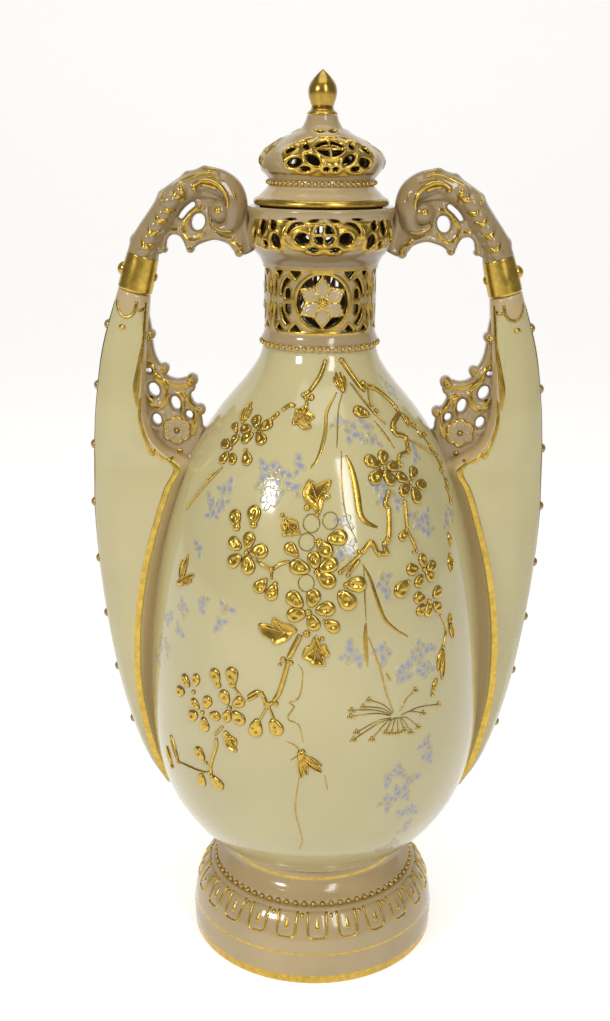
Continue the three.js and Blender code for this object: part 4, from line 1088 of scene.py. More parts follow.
# Horns: the lower part of each handle, cast hollow in a two-piece mould and luted to the body, so
# that each has a round spine with knobs, and a sharp front edge with a channel behind it. The
# sides are ivory under a blush collar, and the edges are gilt.
HORN_REACH = 22.6
HORN_DEPTH = 13.0
HORN_TIP_UP = 22.5
HORN_ROOT = 3.0
RIDGE_HALF = 1.3
Z_HORN_TIP = Z_BODY + HORN_TIP_UP
Z_HORN_TOP = Z_MOUTH - 33.9 - 0.3    # just below the gilt band
BAND_LEAN = math.atan2(3.8, 14.4)
SIDES = ((1, "right"), (-1, "left"))
BAND_R = 7.0
BAND_DEEP = 6.7
band_foot = np.array([GALLERY_R + 45.4, Z_HORN_TOP])
HORN = [                      # share of the height, spine, front edge beyond the belly, depth
    (0, -0.22, -7.6, 0.10), (0.06, 0.12, -1.8, 0.42), (0.14, 0.40, 2, 0.68), (0.24, 0.64, 4.8, 0.86),
    (0.36, 0.83, 4.4, 0.97), (0.48, 0.95, 0.6, 1), (0.58, 1, -5.2, 0.98), (0.64, 0.99, -9.4, 0.95),
    (0.68, 0.98, -13.2, 0.92), (0.71, 0.97, -5.4, 0.88), (0.74, 0.95, -0.2, 0.83),
    (0.80, 0.90, 2.4, 0.76), (0.90, 0.75, 1.4, 0.62)]
HORN_SIDE = [(0, 0), (0.04, 0.26), (0.16, 0.48), (0.42, 0.80), (0.74, 0.955)]  # across, and depth
SWAG = [(81.3, 282), (80.6, 278.4), (79.1, 276.2), (77.1, 275.4), (74.8, 276.3), (73.5, 278.4),
        (72.9, 281.5)]
SWAG_TAIL = [(69.8, 278.8), (71.5, 278.1), (73.4, 278.6)]
INNER_LINE = [(69.4, 281), (69.9, 274.2), (70.5, 266), (72.3, 256.1), (73.7, 247.6), (73.6, 239.8)]
INNER_HALF = (0.5, 0.6, 0.7, 0.95, 1.25, 0.3)
SCALLOPS = [(72.2, 243.6), (72.4, 234.5), (70.8, 228), (68.9, 223.2), (67.6, 220.6), (66.6, 222.4),
            (64.8, 219.6), (61.9, 218.4), (59, 218.8)]
SCALLOP_HALF = (0.5, 0.7, 0.75, 0.8, 1.1, 0.6, 0.75, 0.7, 0.4)
GILT_EDGE_TOP, INNER_LINE_FOOT, SCALLOPS_TOP = 218.5, 240, 244
SPINE_LINE = 1.7              # from the middle of the spine to the brown line at each side of it
ivory_and_blush = glazed("ivory_and_blush", IVORY, tuple(0.93 * c for c in IVORY), 0.12, BLUSH)


def belly_r(z):
    wall = np.array(body_wall)
    return np.interp(z, wall[:, 1], wall[:, 0])


def handed(side, points, faces):
    """The right handle's shape as it is, or mirrored for the left one."""
    points = np.array(points, float)
    if side > 0:
        return points, faces
    points[:, 0] *= -1
    return points, [tuple(face)[::-1] for face in faces]


def through(controls, steps):
    """A smooth curve through rows of control points, each row kept whole."""
    rows = np.array(controls, float)
    padded = np.concatenate([[2 * rows[0] - rows[1]], rows, [2 * rows[-1] - rows[-2]]])
    spans = zip(padded[:-3], padded[1:-2], padded[2:-1], padded[3:])
    out = [curve_between(*span, t) for span in spans for t in np.arange(steps) / steps]
    return np.array(out + [rows[-1]])


def lofted(rings):
    """A closed solid through rings of points."""
    rings = np.array(rings)
    count, sides = rings.shape[:2]
    faces = [tuple(range(sides)), tuple(range((count - 1) * sides, count * sides))[::-1]]
    faces += [face[::-1] for face in ring_faces(count, sides)]
    return rings.reshape(-1, 3), faces


def horn_row(share, spine_share, front_beyond, depth_share):
    z = Z_HORN_TIP + share * (Z_HORN_TOP - Z_HORN_TIP)
    spine = BELLY_R + HORN_REACH * spine_share
    front = BELLY_R + front_beyond
    depth = HORN_DEPTH * depth_share
    attached = share < 0.69
    root = min(float(belly_r(z)) - HORN_ROOT, front - 3) if attached else front - HORN_ROOT
    half = [(spine + (front - spine) * across, deep * depth) for across, deep in HORN_SIDE]
    half += [(front + RIDGE_HALF + 0.5, 0.985 * depth), (front + RIDGE_HALF, depth), (front, depth),
             (front - RIDGE_HALF, 0.985 * depth), (front - RIDGE_HALF - 0.5, 0.93 * depth),
             (front - 2.4 + (root - front + 2.4) * 0.5, 0.70 * depth), (root, 0.55 * depth), (root, 0)]
    return [(x, -y, z) for x, y in half]


def horn_top():
    """The round end of the horn, square to the leaning band."""
    half = []
    for share in (0, 0.08, 0.16, 0.27, 0.38, 0.47, 0.52, 0.57, 0.63, 0.68, 0.78, 0.9, 1.0):
        a = math.pi * share
        across = (BAND_R - 0.3) * math.cos(a)
        half.append((band_foot[0] + across * math.cos(BAND_LEAN), -(BAND_DEEP - 0.3) * math.sin(a),
                     band_foot[1] + across * math.sin(BAND_LEAN)))
    return half


FINE_UP, FINE_ROUND = 22, 3     # steps between two control points, up the horn and round it
EDGE_POINT = 7                # the control point at the middle of the front edge
half_rings = through([horn_row(*row) for row in HORN] + [horn_top()], FINE_UP)
half_rings = np.array([through(ring, FINE_ROUND) for ring in half_rings])
other_half = half_rings[:, -2:0:-1] * (1, -1, 1)
horn_rings = np.concatenate([half_rings, other_half], 1)
horn_points, horn_faces = lofted(horn_rings)
horn_round = horn_rings.shape[1]
horn_column = np.tile(np.arange(horn_round), len(horn_rings))
folded = np.minimum(horn_column, horn_round - horn_column)    # the same on both faces of the horn
front_x = half_rings[:, FINE_ROUND * EDGE_POINT, 0].repeat(horn_round)
x, y, z = horn_points.T
gilt_edge = (z < GILT_EDGE_TOP) & (folded <= FINE_ROUND * (EDGE_POINT + 3))
edge_gold = np.where(gilt_edge, RIDGE_HALF - np.abs(x - front_x), -9)
swag_x, swag_z = np.array(SWAG_TAIL[:2] + SWAG[-2::-1]).T
above_swag = z - np.interp(x, swag_x, swag_z)
line_x, line_z = np.array(INNER_LINE[::-1]).T
behind_line = np.interp(z, line_z, line_x) - x
in_channel = np.where(folded > FINE_ROUND * (EDGE_POINT + 2), 1.0, -1.0)
scallop_x, scallop_z = np.array(SCALLOPS[::-1]).T
above_scallops = np.minimum(z - np.interp(x, scallop_x, scallop_z), 73 - x)
horn_blush = np.maximum.reduce([
    above_swag, np.where(z > INNER_LINE_FOOT, behind_line, -9),
    np.where(z < SCALLOPS_TOP, above_scallops, -9), in_channel])


KNOBS = 8
KNOB_R = 2.2
KNOB_SUNK = 0.7
KNOB_WORN = 0.45              # how brown the thin gold on a knob has worn
TOP_KNOB, KNOB_STEP = 271.6, 24.85
spine_line = half_rings[:, 0]
knob_places = [(np.interp(z, spine_line[:, 2], spine_line[:, 0]) - KNOB_SUNK, 0, z)
               for z in TOP_KNOB - KNOB_STEP * np.arange(KNOBS)]


def knobs(name, side, places, radius, slot, material, gilt):
    mirrored = [(side * x, y, z) for x, y, z in places]
    made = balls_on(name, mirrored, radius, 3, material, gilt)
    finish_piece(made, "vase", slot, material)
    return made


def of_handle(name, side, shape, gilt, slot, material, *nodes):
    """A piece of a handle: the right one's points and faces, or their mirror image."""
    points, faces = handed(side, *shape)
    made = piece_of(name, points, faces, gilt)
    finish_piece(made, "vase", slot, material, *nodes)
    return made


def cast_on(points, faces, empty):
    """A place function on the front of a piece; where the piece isn't, the half depth is empty."""
    tree = BVHTree.FromPolygons(np.asarray(points).tolist(), faces)

    def place(x, z, lift):
        x, z = np.asarray(x, float), np.asarray(z, float)
        hits = [tree.ray_cast((one, -60, other), (0, 1, 0))[0] for one, other in zip(x, z)]
        depth = np.array([empty if hit is None else -hit.y for hit in hits])
        return np.stack([x, -(depth + lift), z], -1)

    return place


def on_spine(y, z, lift):
    """A point of the round back of the right horn."""
    x = np.interp(z, spine_line[:, 2], spine_line[:, 0]) - 0.16 * y ** 2 + lift
    return np.stack([x, y, z], -1)


def both_faces(parts):
    """The same shapes on the front and on the back of a handle."""
    points, faces = gathered(parts)
    back = points * (1, -1, 1)
    return gathered([(points, faces), (back, [tuple(face)[::-1] for face in faces])])


def laid_line(place, path, half, rise=0.5, sink=0.4):
    """A trailed line through a few points of a piece; half is one width, or one for each point."""
    half = np.broadcast_to(half, len(path))
    line = smooth_run(np.column_stack([np.array(path, float), half]), 0.7)
    return ridge(place, line[:, :2], np.maximum(line[:, 2], 0.12), rise, sink=sink)


HORN_DOT = (78.9, 271.6)
on_horn = cast_on(horn_points, horn_faces, 3.2)
horn_lines = [
    laid_line(on_horn, SWAG, 0.62), laid_line(on_horn, SWAG_TAIL, 0.6),
    laid_line(on_horn, INNER_LINE, INNER_HALF), laid_line(on_horn, SCALLOPS, SCALLOP_HALF),
    boss(on_horn, HORN_DOT, 1.35, [(1.0, 0.1), (0.85, 0.5), (0.5, 0.8), (0.1, 0.9)], 0, (1.1, 0.8))]
line_parts = [both_faces([part]) for part in horn_lines]
spine_heights = np.linspace(spine_line[30, 2], spine_line[-6, 2], 60)
for y in (SPINE_LINE, -SPINE_LINE):
    line_parts.append(ridge(on_spine, [(y, z) for z in spine_heights], 0.42, 0.3))
line_shades = (0.35, 0.35, 0.2, 0.0, 0.0, 0.6, 0.6)
horn_gilding = gathered(line_parts)
line_shade = np.concatenate([
    np.full(len(points), shade) for (points, _), shade in zip(line_parts, line_shades)])
for side, word in SIDES:
    horn = of_handle(f"{word}_horn", side, (horn_points, horn_faces), edge_gold, "ivory_glaze",
                     ivory_and_blush, f"{word}_horn")
    add_share(horn, "blush", horn_blush)
    lines = of_handle(f"{word}_horn_gilding", side, horn_gilding, 9, "gilding", gilding)
    add_share(lines, "hollow", line_shade)
    worn = knobs(f"{word}_horn_knobs", side, knob_places, KNOB_R, "blush_glaze", blush, 0.0)
    add_share(worn, "hollow", KNOB_WORN)

# Gilt bands: a plain turned ferrule between the horn and the arm, fully gilt, with a knob at
# each side.
BAND_H = 15.2
BAND_TAPER = 0.6
BAND_SHAPE = [                # share of its height, and how far it swells
    (0, -0.5), (0.05, 0.0), (0.12, 0.05), (0.5, 0.15), (0.88, 0.05), (0.95, 0.0), (1, -0.5)]
BAND_KNOBS = [(78.1, 293.9, 2.9), (67.4, 290.8, 2.5)]


def band_ring(share, swell, sides=48):
    up = np.array([-math.sin(BAND_LEAN), math.cos(BAND_LEAN)])
    centre = band_foot + up * (0.3 + share * BAND_H)
    ring = []
    for k in range(sides):
        a = -2 * math.pi * k / sides
        across = (BAND_R - BAND_TAPER * share + swell) * math.cos(a)
        deep = (BAND_DEEP - BAND_TAPER * share + swell) * math.sin(a)
        ring.append((centre[0] + across * math.cos(BAND_LEAN), deep,
                     centre[1] + across * math.sin(BAND_LEAN)))
    return ring


band_shape = lofted(through([band_ring(*row) for row in BAND_SHAPE], 4))
for side, word in SIDES:
    of_handle(f"{word}_gilt_band", side, band_shape, 9, "gilding", gilding, f"{word}_gilt_band")
    for number, (x, z, radius) in enumerate(BAND_KNOBS, 1):
        knobs(f"{word}_band_knob_{number}", side, [(x, 0, z)], radius, "gilding", gilding, 9)

# Scroll arms: a thick blush limb that rises from the band, turns over and curls into a volute
# against the gallery. A row of knuckles runs up its face, each with a gilt crescent, beside a
# raised rib, and a hollow leaf lies in the bend.
ARM = [                       # centre line in the handle's plane, half widths out and in, half depth
    (70.7, 299.3, 6.3, 6.4, 6.2), (69.3, 303.8, 6, 5.9, 6.3), (67.3, 307.6, 5.8, 5.6, 6.4),
    (64.8, 311.6, 5.5, 5.7, 6.6), (61.6, 316.4, 5.4, 5.9, 6.9), (58.6, 320.6, 5.6, 5.6, 7),
    (54.4, 324.2, 5.1, 5.6, 7), (49.4, 326.2, 6, 5.6, 7), (44.6, 326.6, 6.9, 5.4, 7),
    (40, 325.4, 7.1, 5.2, 7), (36.6, 322.4, 7, 4.6, 6.9), (35, 317.4, 6.1, 4.2, 6.5),
    (36, 312.2, 4.6, 3.2, 5.7), (39.4, 310.2, 3, 2.6, 4.9), (42.8, 312.4, 2, 2, 4)]
KNUCKLES = [(54.8, 325.0, 3.0), (58.9, 320.5, 4.0), (61.6, 315.6, 3.5), (64.6, 311.0, 3.5),
            (67.2, 306.2, 3.4), (68.9, 301.8, 3.0)]
CORNERS = [(75.4, 306.2), (64.4, 324.2), (53.0, 331.0), (45.9, 334.0)]
RIB = [(40.6, 330.6), (43.7, 331.4), (47.7, 330.8), (52.7, 328.9), (57.0, 326.6)]
RIB_HALF = (0.15, 0.55, 0.75, 0.6, 0.2)
LEAF_RIM = [(36.8, 317.6), (36.4, 320.7), (37.5, 323.9), (39.9, 326.7), (43.5, 328.3), (47.0, 328.1),
            (49.4, 326.4), (49.0, 324.8)]
LEAF_RIM_HALF = (0.5, 0.8, 1.0, 1.05, 1.0, 0.95, 1.0, 1.0)
LEAF_HOLLOW = LEAF_RIM + [(47.5, 322.6), (43.5, 321.4), (39.5, 319.6)]
# The leaf's hollow is painted in shade along this line, under its rim.
LEAF_SHADE_LINE = [(38.2, 321.0), (40.4, 323.9), (44.0, 325.0), (47.8, 323.6)]
CRESCENTS = [
    [(56.9, 324.6), (56.6, 323), (55.4, 322), (54, 322.4)],
    [(54.6, 326.9), (53.9, 324.2), (52.8, 321.2)], [(61.4, 324), (62.4, 322.2), (62, 320.4)],
    [(61, 318.4), (59.3, 316.8), (56.6, 317.4)],
    [(64.3, 315.7), (63.7, 313.8), (61.6, 312.9), (59.6, 313.6)],
    [(67.4, 310.7), (66.8, 308.8), (64.6, 308.2), (62.8, 309.2)],
    [(70.1, 306), (69.5, 303.9), (67.6, 303), (65.4, 304)]]
ARM_LINES = [
    (RIB, RIB_HALF), (LEAF_RIM, LEAF_RIM_HALF), ([(40.9, 325.3), (43.5, 326.4), (46.6, 326.7)], 0.65),
    ([(38, 328.4), (40.8, 329.6), (44.2, 330)], 0.25),
    ([(33.3, 321.4), (33.6, 323.2), (34.6, 324.7)], 0.35),
    ([(40, 332), (43.4, 332.6), (46.2, 333.2)], 0.6),
    ([(43.2, 314.6), (43.4, 312.4), (41.6, 310.4), (38, 309.2), (34.2, 309)], 0.5)]
EYE = (40.2, 317.2)           # middle of the volute, with a mound and a gilt eye on each face
MOUND_R, MOUND_OUT = 4.6, 2.4
EYE_R, EYE_OUT = 1.7, 5.7
BRONZED = 0.5                 # gold powder dulls all of the arm's glaze
arm_line = through(ARM, 18)
arm_steps = np.gradient(arm_line[:, :2], axis=0)
arm_steps /= np.linalg.norm(arm_steps, axis=1)[:, None]


def arm_relief(x, z):
    """How far the face of the arm stands up, and its painted shade in grooves and the leaf's hollow."""
    domes = np.sort([1 - np.hypot(x - knuckle_x, z - knuckle_z) ** 2 / radius ** 2
                     for knuckle_x, knuckle_z, radius in KNUCKLES], axis=0)
    lift = 1.6 * np.clip(domes[-1], 0, 1)
    shade = 0.45 * np.exp(-((domes[-1] - domes[-2]) / 0.3) ** 2) * (domes[-1] > 0)
    shade = np.maximum(shade, 0.5 * np.exp(-(domes[-1] / 0.18) ** 2))
    lift += 0.6 * np.exp(-(stroke(x, z, RIB, 0) / 0.9) ** 2)
    inside = np.clip(outline(x, z, LEAF_HOLLOW) / 1.4, 0, 1)
    lift += 0.5 * np.exp(-(stroke(x, z, LEAF_RIM, 0) / 0.8) ** 2)
    lift -= 1.3 * inside ** 2 * (3 - 2 * inside)
    shade = np.maximum(shade, 0.85 * np.exp(-(stroke(x, z, LEAF_SHADE_LINE, 0) / 1.3) ** 2) * inside)
    return lift, shade


arm_rings, arm_shades = [], []
for (x, z, outer, inner, half_deep), (run_x, run_z) in zip(arm_line, arm_steps):
    a = 2 * math.pi * np.arange(72) / 72
    wide, deep = np.where(np.cos(a) > 0, outer, inner) * np.cos(a), half_deep * np.sin(a)
    at_x, at_z = x + run_z * wide, z - run_x * wide
    lift, shade = arm_relief(at_x, at_z)
    facing = np.clip(1.7 * np.abs(np.sin(a)) - 0.15, 0, 1)
    lift *= facing
    for corner_x, corner_z in CORNERS:
        reach = (at_x - corner_x) ** 2 + deep ** 2 + (at_z - corner_z) ** 2
        lift += 0.7 * np.exp(-reach / 1.9 ** 2)
    out = np.stack([run_z * wide, -deep, -run_x * wide], -1)
    out /= np.linalg.norm(out, axis=1)[:, None]
    arm_rings.append(np.stack([at_x, -deep, at_z], -1) + out * lift[:, None])
    # Painted shade on the arm's faces, never lighter than the even dulling of the gold powder.
    arm_shades.append(np.maximum(shade * facing, BRONZED))
arm_points, arm_faces = lofted(arm_rings)
on_arm = cast_on(arm_points, arm_faces, 2.6)
arm_gilding = [laid_line(on_arm, path, half, 0.55) for path, half in ARM_LINES]
for path in CRESCENTS:
    arm_gilding.append(laid_line(on_arm, path, [0.4] + [1.0] * (len(path) - 2) + [0.4], 0.6))
arm_gilding = both_faces(arm_gilding)
for side, word in SIDES:
    arm = of_handle(f"{word}_scroll_arm", side, (arm_points, arm_faces), -9, "blush_glaze", blush,
                    f"{word}_scroll_arm")
    add_share(arm, "hollow", np.concatenate(arm_shades))
    of_handle(f"{word}_arm_gilding", side, arm_gilding, 9, "gilding", gilding)
    mounds = [(EYE[0] - 0.4, y, EYE[1] - 0.4) for y in (-MOUND_OUT, MOUND_OUT)]
    mound = knobs(f"{word}_volute_mound", side, mounds, MOUND_R, "blush_glaze", blush, -9)
    add_share(mound, "hollow", BRONZED)
    eyes = [(EYE[0], y, EYE[1]) for y in (-EYE_OUT, EYE_OUT)]
    knobs(f"{word}_volute_eye", side, eyes, EYE_R, "gilding", gilding, 9)

# Strapwork: a pierced web cast with the arm, that fills the corner under it. Its lower edge is
# cusped, and a gilt loop runs round the opening.
PLATE_STEP = 0.34
WEB_SHADE = 0.3               # the glaze of the webs is dulled like the arm's


def disc(u, v, centre, radius):
    return radius - np.hypot(u - centre[0], v - centre[1])


def openwork(name, side, corners, discs, holes, slits, gilt_lines, half_depth):
    """A pierced plate in the handle's plane, the same on both faces, in the place of its node.

    A gilt line given by more than four points is drawn as a smooth curve through them."""
    spread = np.array(corners + [(x, z) for x, z, _ in discs])
    low, high = spread.min(0) - 3, spread.max(0) + 3
    columns = np.arange(low[0], high[0], PLATE_STEP)
    rows = np.arange(low[1], high[1], PLATE_STEP)
    gilt_lines = [(smooth_run(path, 1.2).tolist() if len(path) > 4 else path, half)
                  for path, half in gilt_lines]

    def pattern(u, v):
        solid = outline(u, v, corners)
        for x, z, radius in discs:
            solid = np.maximum(solid, disc(u, v, (x, z), radius))
        for x, z, wide, tall, tilt in holes:
            solid = np.minimum(solid, -oval(u, v, (x, z), wide, tall, tilt))
        for path, half in slits:
            solid = np.minimum(solid, -stroke(u, v, path, half))
        gold = np.full(u.shape, -9.0)
        relief = rounded(solid, 1.3) + 0.5 * np.exp(-((solid - 1.3) / 0.8) ** 2)
        for path, half in gilt_lines:
            line = stroke(u, v, path, half)
            gold = np.maximum(gold, line)
            relief += 0.75 * np.clip(1 + line / 1.1, 0, 1) ** 2 * np.clip(solid / 0.8, 0, 1)
        for x, z, radius in discs:
            reach = np.hypot(u - x, v - z)
            relief += 0.7 * np.sqrt(np.clip(1 - (reach / radius) ** 2, 0, 1))
            gold = np.maximum(gold, 0.55 * radius - reach)
        return solid, gold, relief

    def face(way):
        return lambda u, v, lift: np.stack([u, way * (half_depth + lift), v], -1)

    made = open_wall(name, columns, rows, pattern, face(-1), face(1), False, True)
    darken(made, WEB_SHADE)
    if side < 0:
        made.data.transform(Matrix.Scale(-1, 4, (1, 0, 0)))
        made.data.flip_normals()
    finish_piece(made, "vase", "blush_glaze", blush, name)


STRAP_EDGE = smooth_run([
    (64.8, 299.5), (62.4, 300.4), (61.2, 302.4), (60.6, 305.6), (58.6, 307.4), (56.1, 307),
    (54.4, 304.9), (53.4, 302.4), (51.8, 301), (50.3, 301.8), (48.6, 303.4), (45.2, 304.8),
    (41.5, 305.5), (36.8, 304), (34.7, 301.6), (32.8, 300), (30.8, 299.6), (28.6, 300.4),
    (26.4, 301.6)], 0.8).tolist()
STRAP = STRAP_EDGE + [(26.8, 306), (28.4, 312), (28.6, 318.5), (34, 322), (44, 326), (54, 322), (62, 314),
                      (67, 306)]
STRAP_DEPTH = 2.6
STRAP_DISCS = [(51.6, 302, 1.7), (32.3, 300.8, 1.9), (61.9, 301.5, 1.3)]
STRAP_HOLES = [(48.3, 312.5, 2.5, 3.3, 20)]
STRAP_SLITS = [([(50.4, 319.2), (52.9, 317.2), (55.1, 314.6)], 0.95)]
STRAP_GILDING = [
    ([(46.7, 318.3), (49.7, 316.6), (52.3, 313.8), (53.9, 311.3), (53.7, 308.1), (51.6, 305.6),
      (48.4, 306.4), (46.6, 308.2)], 0.75),
    ([(31.4, 300.8), (32, 303.7), (35.3, 305.1)], 0.7),
    ([(35.2, 306.5), (38.5, 307.3), (41.3, 308.7)], 0.6),
    ([(58.7, 309.5), (56.4, 309.7)], 0.65)]
for side, word in SIDES:
    openwork(f"{word}_arm_strapwork", side, STRAP, STRAP_DISCS, STRAP_HOLES, STRAP_SLITS,
             STRAP_GILDING, STRAP_DEPTH)

# Brackets: a pierced scrolled web between each horn and the shoulder of the body, cast with the
# horn, and a rosette modelled on each face of it, with raised gilt rims round its petals.
BRACKET_EDGE = smooth_run([
    (70.6, 284.4), (68.6, 282), (68.6, 275.8), (67.8, 270), (67.4, 264.5), (66.6, 260), (65.2, 256.8),
    (64, 255.2), (62.6, 252.2), (60.9, 250.5), (57.6, 249.7), (53.8, 250.6), (51.2, 250.6), (50.4, 246),
    (52.3, 243.6), (51.2, 240.2), (49.2, 238.6), (48.6, 236.6), (48, 234.1), (47.6, 230)], 0.8).tolist()
BRACKET = BRACKET_EDGE + [(46.6, 229.5), (50, 220), (56.5, 206), (60.5, 208), (66, 213), (72, 219),
                          (73, 228), (73.5, 240), (73.4, 255), (72.6, 268), (71.8, 284)]
BRACKET_DISCS = [(63.1, 254, 2.2), (48.7, 237, 2.3), (68.3, 267.8, 2.1), (51.8, 249.4, 2.5)]
BRACKET_HOLES = [(67.3, 245.3, 2.1, 2.9, -18), (58.6, 239.8, 1.8, 2.9, -12),
                 (53.1, 235, 1.4, 1.7, -8), (66.4, 232.9, 1.8, 2.4, -10),
                 (69.2, 253.2, 1.05, 1.05, 0)]
BRACKET_GILDING = [
    ([(70.6, 263.5), (69.6, 259.2), (68, 255.4), (66.4, 252.8), (63.6, 249.9), (60.3, 248),
      (56.6, 247.1), (53.6, 247.6), (51.9, 249.4), (52.6, 251.2)], 0.95),
    ([(66, 250.6), (63.2, 248), (61.9, 245.2), (62.1, 242.2), (63.6, 239.6), (66, 238.5),
      (68.4, 239.8), (68.6, 242)], 1),
    ([(55.7, 244.4), (52.6, 241), (51, 236.5), (50.7, 231.4), (51.5, 227.8)], 0.95),
    ([(57.4, 244.2), (55.6, 242.5), (55.2, 239.5), (56.2, 236.2)], 0.7),
    ([(69, 266.4), (70.2, 268.4), (70.4, 270.8)], 0.8)]
ROSETTE = (58.2, 228.7)
ROSETTE_R = 5.4
ROSETTE_PETALS = 6
BRACKET_DEPTH = 2.8


def swollen(path, widest, ends=0.25):
    """Half widths along a path that thin out at both ends."""
    t = np.linspace(0, 1, len(path))
    return widest * (ends + (1 - ends) * np.sin(np.pi * np.clip(t * 0.92 + 0.04, 0, 1)) ** 0.6)


def on_plate(depth):
    return lambda x, z, lift: np.stack([x, -(depth + np.asarray(lift) + 0 * x), z], -1)


def rosette_parts(centre, radius, petals, seat):
    """Domed petals with raised gilt rims round a button: the blush pieces and the gilt ones."""
    face = on_plate(seat)
    domes, rims = [], []
    for k in range(petals):
        a = math.pi / 2 + 2 * math.pi * k / petals
        middle = (centre[0] + 0.6 * radius * math.cos(a), centre[1] + 0.6 * radius * math.sin(a))
        size = 0.38 * radius
        domes.append(boss(face, middle, size, [(1.0, 0.6), (0.85, 1.1), (0.45, 0.8), (0.1, 0.6)], a,
                          (1.15, 1.1)))
        bow = a + np.linspace(-2.2, 2.2, 20)
        line = np.array(middle) + 1.1 * size * np.stack([np.cos(bow), np.sin(bow)], 1)
        rims.append(ridge(face, line, swollen(line, 0.75), 1.2, sink=0.4))
    rims.append(boss(face, centre, 0.2 * radius, [(1.0, 0.4), (0.8, 1.2), (0.4, 1.6), (0.1, 1.7)]))
    return domes, rims


domes, rims = rosette_parts(ROSETTE, ROSETTE_R, ROSETTE_PETALS, BRACKET_DEPTH)
rims.append(boss(on_plate(BRACKET_DEPTH), (57.0, 220.0), 1.2, [(1.0, 0.1), (0.6, 0.5), (0.1, 0.6)]))
rosette_petals, rosette_rims = both_faces(domes), both_faces(rims)
for side, word in SIDES:
    openwork(f"{word}_bracket", side, BRACKET, BRACKET_DISCS, BRACKET_HOLES, [], BRACKET_GILDING,
             BRACKET_DEPTH)
    petals = of_handle(f"{word}_rosette_petals", side, rosette_petals, -9, "blush_glaze", blush)
    # Painted shade: the petals are darker towards the rosette's heart, and somewhat darker all over.
    reach = np.hypot(rosette_petals[0][:, 0] - ROSETTE[0], rosette_petals[0][:, 2] - ROSETTE[1])
    add_share(petals, "hollow", np.clip(0.85 - reach / 3.0, 0.2, 0.6))
    of_handle(f"{word}_rosette_gilding", side, rosette_rims, 9, "gilding", gilding,
              f"{word}_rosette_front", f"{word}_rosette_back")

# Raised gilding on the body: the traditional ornament of blossoming branches, leaves, grasses and
# insects, trailed and modelled in paste on the glaze and gilded, with florets painted between.
# Places on the belly are given in degrees round it from the front, to the right, and in height.
PAD_EDGE = 0.35               # how far a pad is sunk in the glaze
BUTTON = [(1, 0), (0.92, 0.5), (0.7, 0.9), (0.4, 1.15)]    # profile of a knot or a flower's heart
THIN = 0.7                    # grasses thinner than this are trailed, and wider ones brushed on


def on_belly(middle):
    """A place function for mm to the right of a point of the belly and mm above it."""
    degrees, height = middle

    def place(x, y, lift):
        z = height + np.asarray(y, float)
        radius = belly_r(z)
        slope = belly_r(z + 0.5) - belly_r(z - 0.5)
        out = 1 / np.sqrt(1 + slope ** 2)
        angle = degrees + np.degrees(np.asarray(x) / radius)
        return round_axis(angle, radius + lift * out, z - lift * out * slope)

    return place


def flat(points, middle):
    """Points of (degrees, height) as mm to the right of a middle and mm above it."""
    points = np.array(points, float)
    across = np.radians(points[:, 0] - middle[0]) * belly_r(points[:, 1])
    return np.stack([across, points[:, 1] - middle[1]], 1)


def trail(path, half, rise, ends=0.5):
    """A line of paste through points of (degrees, height), thinner at its ends."""
    middle = np.mean(np.array(path, float), 0)
    line = smooth_run(flat(path, middle), 0.7)
    return ridge(on_belly(middle), line, swollen(line, half, ends), rise, sink=PAD_EDGE)


def lobe(middle, start, degrees, length, half, bend=0.0):
    """One lobe of a leaf: a hollowed pad with raised edges and a vein."""
    t = np.linspace(0, 1, 12)
    turn = np.radians(degrees) + bend * t
    spine = np.array(start) + length / 12 * np.cumsum(np.stack([np.cos(turn), np.sin(turn)], 1), 0)
    wide = half * np.sin(np.pi * np.clip(0.12 + 0.86 * t, 0, 1)) ** 0.8
    side = np.stack([-np.sin(turn), np.cos(turn)], 1) * wide[:, None]
    place = on_belly(middle)
    parts = [ridge(place, spine, np.maximum(wide, 0.2), 0.4, sink=PAD_EDGE)]
    for edge in (spine + side, spine - side):
        parts.append(ridge(place, edge, swollen(edge, 0.34, 0.6), 0.8, sink=PAD_EDGE))
    parts.append(ridge(place, spine[:10], swollen(spine[:10], 0.24, 0.3), 0.7, sink=PAD_EDGE))
    return parts


def leaf(middle, degrees, lobes):
    """Lobes of (turn, length, half width) from one stalk, with a blunt knob where they meet."""
    parts = [boss(on_belly(middle), (0, 0), 0.8, [(1, 0.2), (0.8, 0.8), (0.4, 1.0)])]
    for turn, length, half in lobes:
        parts += lobe(middle, (0, 0), degrees + turn, length, half, -math.radians(turn) * 0.35)
    return parts


def toward(degrees):
    return np.array([math.cos(math.radians(degrees)), math.sin(math.radians(degrees))])


def lobed_leaf(middle, stalk, edge):
    """A leaf with pointed lobes: a raised edge, a hollowed face, and veins out to its points."""
    turns, reaches = np.array(edge, float).T
    around = np.arange(60) * 6.0
    radii = np.interp(around, turns, reaches, period=360)
    place = on_belly(middle)
    parts = [boss(place, (0, 0), radii, [
        (1, 0.1), (0.98, 0.6), (0.90, 0.85), (0.8, 0.7), (0.7, 0.35), (0.4, 0.25)])]
    root = 0.8 * np.interp(stalk, turns, reaches) * toward(stalk)
    before, after = np.roll(reaches, 1), np.roll(reaches, -1)
    for turn, reach in zip(turns, reaches):
        away = abs((turn - stalk + 180) % 360 - 180)
        if away > 50 and reach >= max(before[turns == turn][0], after[turns == turn][0]):
            tip = 0.85 * reach * toward(turn)
            vein = smooth_run([root, 0.35 * root + 0.12 * tip, tip], 0.8)
            parts.append(ridge(place, vein, swollen(vein, 0.34, 0.4), 0.85, sink=PAD_EDGE))
    return parts


